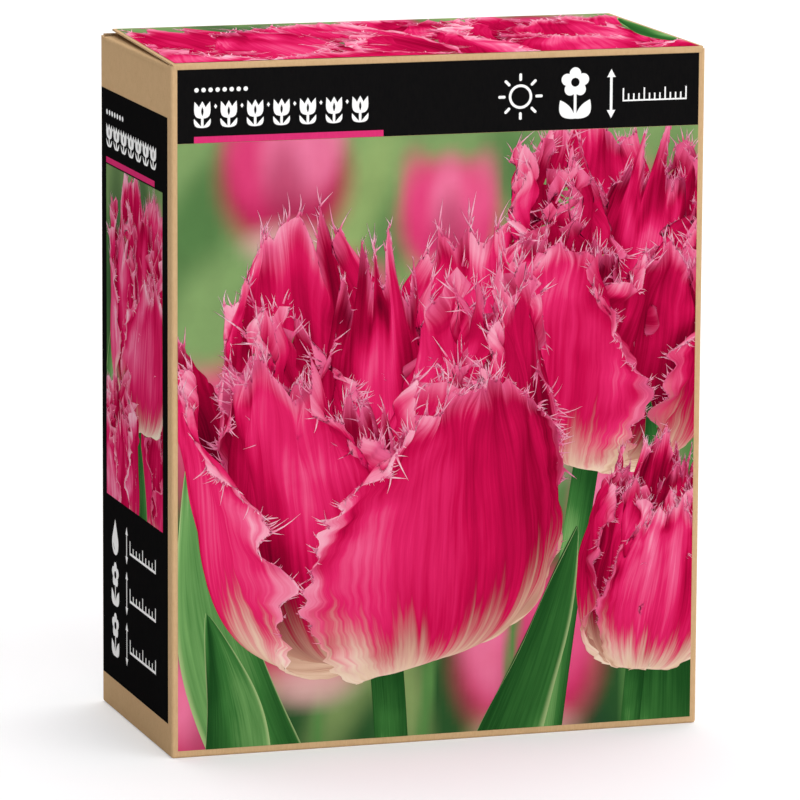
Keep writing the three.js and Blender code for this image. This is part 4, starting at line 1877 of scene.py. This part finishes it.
@dataclass(frozen=True)
class Picture:
    """A framed picture on one face: blooms and leaves in the round, pressed flat over a blurred backdrop."""

    face: PrintFace
    frame: Frame
    blooms: tuple[Bloom, ...]
    leaves: tuple[Leaf, ...]
    backdrop: Backdrop
    taper: float = 0.0
    glow: float = 0.0
    leaf_fineness: tuple[int, int] = (60, 14)
    backdrop_step: float = 1.8

    GROUND = 0.028 * MM
    FOOT = 0.034 * MM
    PRESSED = 0.11 * MM

    def build(self) -> None:
        """Builds, lights, culls, presses and prints the picture."""
        parts = [part for bloom in self.blooms for part in bloom.parts()]
        parts += [leaf.part(self.leaf_fineness) for leaf in self.leaves]
        light = PictureLight(parts)
        shown = [part for part in map(light.cull, parts) if len(part.points)]
        for part in shown:
            light.shade(part, self.glow)
        depths = np.concatenate([part.points[:, 2] for part in shown])
        shown.append(self.backdrop.part(self.backdrop_step))
        for ink in PictureFinish:
            self.press(ink, [part for part in shown if part.ink is ink], depths.min(), depths.max())
        log.info("%s picture: %d blooms, %d leaves", self.face.name, len(self.blooms), len(self.leaves))

    def press(self, ink: PictureFinish, parts: list[ArtPart], deepest: float, nearest: float) -> None:
        """Presses the parts of one ink onto the face and cuts them at the frame.

        Args:
            ink: The ink.
            parts: The parts printed in it.
            deepest: The depth that lies lowest.
            nearest: The depth that lies highest.
        """
        points, faces = joined(parts)
        share = np.clip((points[:, 2] - deepest) / (nearest - deepest), 0, 1)
        lift = np.where(points[:, 2] < deepest - 1, self.GROUND, self.FOOT + share * self.PRESSED)
        flat = np.column_stack([points[:, :2] * MM, lift])
        mesh = plain_mesh(f"{self.face.name}_{ink.value}", flat, faces)
        for key in ("light", "along", "across", "side", "tip"):
            set_values(mesh, key, np.concatenate([part.value(key) for part in parts]))
        if ink is PictureFinish.GROUND:
            tint = parts[0].values["tint"]
            set_values(mesh, "tint", np.column_stack([tint, np.ones(len(tint))]), "FLOAT_COLOR")
        set_map(mesh, "petal", np.concatenate([part.uv for part in parts]))
        mesh.materials.append(ink.material())
        self.trim(mesh)
        mesh.polygons.foreach_set("use_smooth", [True] * len(mesh.polygons))
        bake_map(mesh)
        mesh.transform(self.face.matrix())
        dress(link(mesh), self.face.body)

    def trim(self, mesh: Mesh) -> None:
        """Cuts a flat mesh at the picture's frame and sorts its faces from the board outwards."""
        left, low, right, high = (edge * MM for edge in self.frame)
        tall, taper = high - low, self.taper * MM
        work = bmesh.new()
        work.from_mesh(mesh)
        slants = (left, low, -tall, taper), (right, low, tall, taper)
        for x, y, *way in (*slants, (0, low, 0, -1), (0, high, 0, 1)):
            everything = [*work.verts, *work.edges, *work.faces]
            cut = {"plane_co": (x, y, 0), "plane_no": (*way, 0), "clear_outer": True}
            bmesh.ops.bisect_plane(work, geom=everything, dist=TINY, **cut)
        for face in work.faces:
            if face.normal.z < 0:
                face.normal_flip()
        work.faces.sort(key=lambda face: face.calc_center_median().z)
        work.to_mesh(mesh)
        work.free()


@dataclass(frozen=True)
class GardenPictures:
    """The pictures of all the faces."""

    faces: CartonFaces

    def front(self) -> Picture:
        """A wide bed: one great bloom low on the left, one behind it on the right, and a bud."""
        frame = (-74.0, 2.0, 74.0, 168.25)
        blooms = (
            Bloom(Pose3D(-15, 27, 0, lean=-4, pitch=19), turn=26, height=104, reach=50, seed=4),
            Bloom(Pose3D(44, 80, -80, lean=9, pitch=22), turn=80, height=80, reach=36, seed=9),
            Bloom(Pose3D(58, 18, -20, lean=9, pitch=12, size=0.66), 10, 88, 30, -0.22, seed=14, heart=3),
        )
        leaves = (
            Leaf((-12, -30, -6), (-13, 6, -3), (-15.5, 30, 0), 9.5, seed=2),
            Leaf((30, -20, -84), (36, 34, -82), (44, 84, -80), 7.5, seed=3),
            Leaf((54, -30, -24), (56, 0, -22), (58, 20, -20), 5.6, seed=4),
            Leaf((-36, -26, -14), (-64, 20, -10), (-71, 84, -30), 29, 8, 24, seed=5),
            Leaf((4, -26, 18), (22, 6, 22), (40, 58, 4), 23, 8, -30, seed=6),
            Leaf((66, -28, -34), (72, 20, -30), (60, 96, -46), 24, 7, 30, seed=7),
            Leaf((-62, -30, 12), (-54, 0, 16), (-66, 40, 8), 22, 6, -20, seed=8),
        )
        return Picture(self.faces.front, frame, blooms, leaves, Backdrop(frame, 21, 11, (15, 25)))

    def lid(self) -> Picture:
        """A crowded bed, seen so close that the blooms are cut by the lid's edges."""
        frame = (-74.4, 0.7, 74.4, 69.9)
        kind = {"heart": 3, "fineness": (60, 40), "spikes": 260}
        blooms = (
            Bloom(Pose3D(-34, -34, 0, lean=-10, pitch=30), 14, 92, 46, seed=24, **kind),
            Bloom(Pose3D(42, -30, -30, lean=12, pitch=26), 52, 90, 44, seed=29, **kind),
            Bloom(Pose3D(4, 2, -90, lean=2, pitch=22), 10, 60, 32, 0.08, 34, 3, (48, 32), 200),
        )
        leaves = (
            Leaf((-78, -16, -40), (-66, 18, -36), (-80, 64, -40), 24, 7, 25, seed=9),
            Leaf((82, 2, 30), (66, 20, 26), (72, 60, 4), 17, 6, -25, seed=10),
        )
        return Picture(self.faces.lid, frame, blooms, leaves, Backdrop(frame, 33, 5), 2.5, 0.10)

    @staticmethod
    def side(face: PrintFace, shift: float, m: int) -> Picture:
        """A tall slip of the bed: two buds below, a bloom above them.

        Args:
            face: The wall's face.
            shift: How far the picture is moved to the right, in millimetres.
            m: 1, or -1 for the picture's mirror image.

        Returns:
            The picture.
        """
        frame = (shift - 30.5, 61.0, shift + 28.0, 154.1)
        seed = 44 + m
        blooms = (
            Bloom(Pose3D(2 * m, 88, 0, 4 * m, 17), 20, 58, 29, 0.08, seed, 6, (52, 34), 190),
            Bloom(Pose3D(-14 * m, 50, 34, -7 * m, 14), 70, 44, 19, -0.12, seed + 5, 4, (44, 28), 150),
            Bloom(Pose3D(21 * m, 55, -30, 9 * m, 16), 50, 42, 18, 0.08, seed + 9, 6, (40, 26), 120),
        )
        leaves = (
            Leaf((2 * m, 50, -4), (3 * m, 70, -2), (4 * m, 93, 0), 4.6, seed=11),
            Leaf((-26 * m, 50, -10), (-31 * m, 84, -8), (-20 * m, 118, -22), 13, 4, 22, seed=12),
            Leaf((6 * m, 46, 20), (10 * m, 62, 18), (3 * m, 84, 10), 8, 4, -25, seed=13),
        )
        backdrop = Backdrop(frame, 50 + m, 4, (7, 11))
        return Picture(face, frame, blooms, leaves, backdrop, 0.0, 0.14, (44, 10), 1.5)

    def back(self) -> Picture:
        """A wide slip of the bed: two blooms and a bud in a row."""
        frame = (-74.0, 62.5, 74.0, 168.25)
        kind = {"fineness": (56, 38), "spikes": 240}
        blooms = (
            Bloom(Pose3D(30, 78, 0, lean=6, pitch=18), 12, 72, 34, seed=61, **kind),
            Bloom(Pose3D(-42, 70, -40, lean=-8, pitch=19), 64, 66, 30, seed=66, **kind),
            Bloom(Pose3D(-6, 84, -90, lean=-2, pitch=16), 33, 48, 19, -0.2, 71, 3, (44, 28), 160),
        )
        leaves = (
            Leaf((28, 50, -4), (29, 66, -2), (30, 80, 0), 6.4, seed=14),
            Leaf((-38, 50, -44), (-40, 62, -42), (-42, 72, -40), 6.0, seed=15),
            Leaf((-8, 50, -94), (-7, 70, -92), (-6, 86, -90), 5.0, seed=16),
            Leaf((58, 48, -14), (74, 90, -12), (64, 132, -30), 20, 7, 24, seed=17),
            Leaf((8, 46, 14), (-6, 68, 16), (-14, 110, 4), 17, 6, -28, seed=18),
            Leaf((-64, 46, 10), (-74, 84, 12), (-68, 122, -2), 18, 6, 22, seed=19),
        )
        return Picture(self.faces.back, frame, blooms, leaves, Backdrop(frame, 57, 5))

    def build(self) -> None:
        """Prints all the pictures."""
        sides = self.side(self.faces.left, 0.0, 1), self.side(self.faces.right, RIGHT_SHIFT, -1)
        for picture in (self.front(), self.lid(), *sides, self.back()):
            picture.build()


# ---- bulbs


@dataclass(frozen=True)
class BulbShape:
    """A tulip bulb: a root plate, a round belly and a drawn-out point, all inside the frame's plain one."""

    belly: float = 0.38
    plate: float = 0.26
    around: int = 40
    rings: int = 36

    def profile(self, along: Array) -> Array:
        """The bulb's radius, as a share of its largest, from the root plate to the point."""
        below = self.plate + (1 - self.plate) * np.sin(np.clip(along / self.belly, 0, 1) * math.pi / 2) ** 0.9
        share = np.clip((along - self.belly) / (1 - self.belly), 0, 1)
        return np.where(along < self.belly, below, np.cos(share * math.pi / 2) ** 1.15)

    def build(self, node: Piece, seed: int) -> Piece:
        """Builds the bulb in the place of one of the frame's.

        Args:
            node: The frame's bulb.
            seed: What sets its own unevenness.

        Returns:
            The new object.
        """
        points = points_of(node.data)
        centre = points.mean(0)
        axis, side, _ = np.linalg.svd(points - centre)[2]
        along = (points - centre) @ axis
        away = np.linalg.norm(points - centre - along[:, None] * axis, axis=1)
        if along[away > away.max() * 0.97].mean() > (along.max() + along.min()) / 2:
            axis, along = -axis, -along
        foot, length, girth = along.min(), np.ptp(along), away.max()
        steps = np.linspace(0, 1, self.rings + 1), np.arange(self.around) / self.around
        share, turn = np.meshgrid(*steps, indexing="ij")
        c, s = np.cos(turn * 2 * math.pi), np.sin(turn * 2 * math.pi)
        lobes = 0.5 + 0.5 * np.cos(turn * 6 * math.pi + seed)
        uneven = Ripple(seed, 6, 2).at(c * 0.4, s * 0.4 + share)
        radius = girth * self.profile(share) * (0.955 - 0.018 * lobes + 0.012 * np.clip(uneven, -1.6, 1.6))
        ring = radius[..., None] * (c[..., None] * side + s[..., None] * np.cross(axis, side))
        surface = centre + (foot + length * (0.015 + 0.97 * share))[..., None] * axis + ring
        faces = [*grid_faces(self.rings + 1, self.around, wrap=True), range(self.around)]
        mesh = plain_mesh(node.name + "_skin", surface.reshape(-1, 3), faces)
        turn_outwards(mesh)
        set_map(mesh, "skin", np.stack([turn.ravel() + seed * 0.37, share.ravel()], 1))
        return link(mesh)


def build_bulbs(nodes: dict[str, Piece]) -> None:
    """Dresses every bulb of the frame.

    Args:
        nodes: The frame's nodes by name.
    """
    names = sorted(name for name in nodes if name.startswith("bulb_"))
    finish = BulbTunic().material()
    for seed, name in enumerate(names, 1):
        made = BulbShape().build(nodes[name], seed)
        made.data.materials.append(finish)
        dress(made, "carton", name)
    log.info("bulbs: %d", len(names))


# ---- studio


@dataclass(frozen=True)
class Studio:
    """A white table, soft light and the camera."""

    lens: float = 272.6
    azimuth: float = 17.694
    elevation: float = 10.301
    roll: float = 0.327
    distance: float = 1.6856
    target: Place = (0.30 * MM, 0.0, 88.94 * MM)
    world: float = 0.27
    overhead: float = 2.4
    front: float = 2.32
    floor_size: float = 6.0
    floor_lift: float = 0.28
    floor_gap: float = 1.2 * MM

    def build_floor(self) -> None:
        """A large white table top, open just under the carton so that light reaches its underside too."""
        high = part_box("sleeve")[1]
        reaches = (self.floor_size, self.floor_size), (high.x - self.floor_gap, high.y - self.floor_gap)
        ways = ((-1, -1), (1, -1), (1, 1), (-1, 1))
        corners = [(a * x, b * y, 0) for x, y in reaches for a, b in ways]
        sides = [(k, (k + 1) % 4, 4 + (k + 1) % 4, 4 + k) for k in range(4)]
        floor = link(plain_mesh("floor", np.array(corners), sides))
        sheet = MaterialSheet("table_white")
        soft = sheet.noise(sheet.place(), 3, 2, 0.5)
        sheet.coat(sheet.mix(soft, tone(224, 224, 225), tone(227, 227, 228)), 0.9, 0.0)
        sheet.shader.inputs["Emission Color"].default_value = (1, 1, 1, 1)
        below = sheet.add("ShaderNodeNewGeometry").outputs["Backfacing"]
        sheet.feed(sheet.shader.inputs["Alpha"], sheet.maths("SUBTRACT", 1.0, below))
        seen = sheet.add("ShaderNodeLightPath").outputs["Is Camera Ray"]
        lift = sheet.maths("MULTIPLY", seen, self.floor_lift)
        sheet.feed(sheet.shader.inputs["Emission Strength"], lift)
        floor.data.materials.append(sheet.material)

    def build_light(self) -> None:
        """An even white world, a wide soft light overhead and a softer one on the front panel's side."""
        world = bpy.data.worlds.new("studio")
        world.use_nodes = True
        background = world.node_tree.nodes["Background"]
        background.inputs["Color"].default_value = (1, 1, 1, 1)
        background.inputs["Strength"].default_value = self.world
        bpy.context.scene.world = world
        above = "overhead", self.overhead, 86, Vector((0.26, 0.72, 1.0))
        before = "front_light", self.front, 80, Vector((0.42, -0.90, 0.40))
        for name, energy, spread, toward in (above, before):
            light = bpy.data.lights.new(name, "SUN")
            light.energy, light.angle = energy, math.radians(spread)
            lamp = link(light)
            lamp.location = toward.normalized() * 2
            lamp.rotation_euler = toward.to_track_quat("Z", "Y").to_euler()

    def build_camera(self) -> None:
        """The camera, looking at the front panel from the left and a little above."""
        data = bpy.data.cameras.new("camera")
        data.lens, data.sensor_width = self.lens, 36
        data.clip_start, data.clip_end = 0.1, 50
        camera = link(data)
        (turn_c, turn_s), (rise_c, rise_s), (c, s) = map(turned, (self.azimuth, self.elevation, self.roll))
        back = Vector((-turn_s * rise_c, -turn_c * rise_c, rise_s))
        right = Vector((turn_c, -turn_s, 0))
        up = back.cross(right)
        axes = (right * c + up * s, up * c - right * s, back)
        camera.location = Vector(self.target) + back * self.distance
        camera.rotation_mode = "QUATERNION"
        camera.rotation_quaternion = Matrix(axes).transposed().to_quaternion()
        bpy.context.scene.camera = camera

    def build(self) -> None:
        """Sets up the table, the light and the camera."""
        self.build_floor()
        self.build_light()
        self.build_camera()
        bpy.context.scene.view_settings.view_transform = "Standard"
        log.info("studio: camera %.0f mm at %.2f m", self.lens, self.distance)


def main() -> None:
    """Builds the whole scene over the frame."""
    logging.basicConfig(level=logging.INFO, format="%(name)s: %(message)s")
    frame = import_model()
    Studio().build()
    carton = Carton()
    carton.build()
    faces = CartonFaces(carton)
    FacePrint(faces.front, "header").front()
    FacePrint(faces.left, "panel").side(0.0)
    FacePrint(faces.right, "panel").side(RIGHT_SHIFT)
    FacePrint(faces.back, "header").back()
    GardenPictures(faces).build()
    build_bulbs(frame["nodes"])


if __name__ == "__main__":
    main()
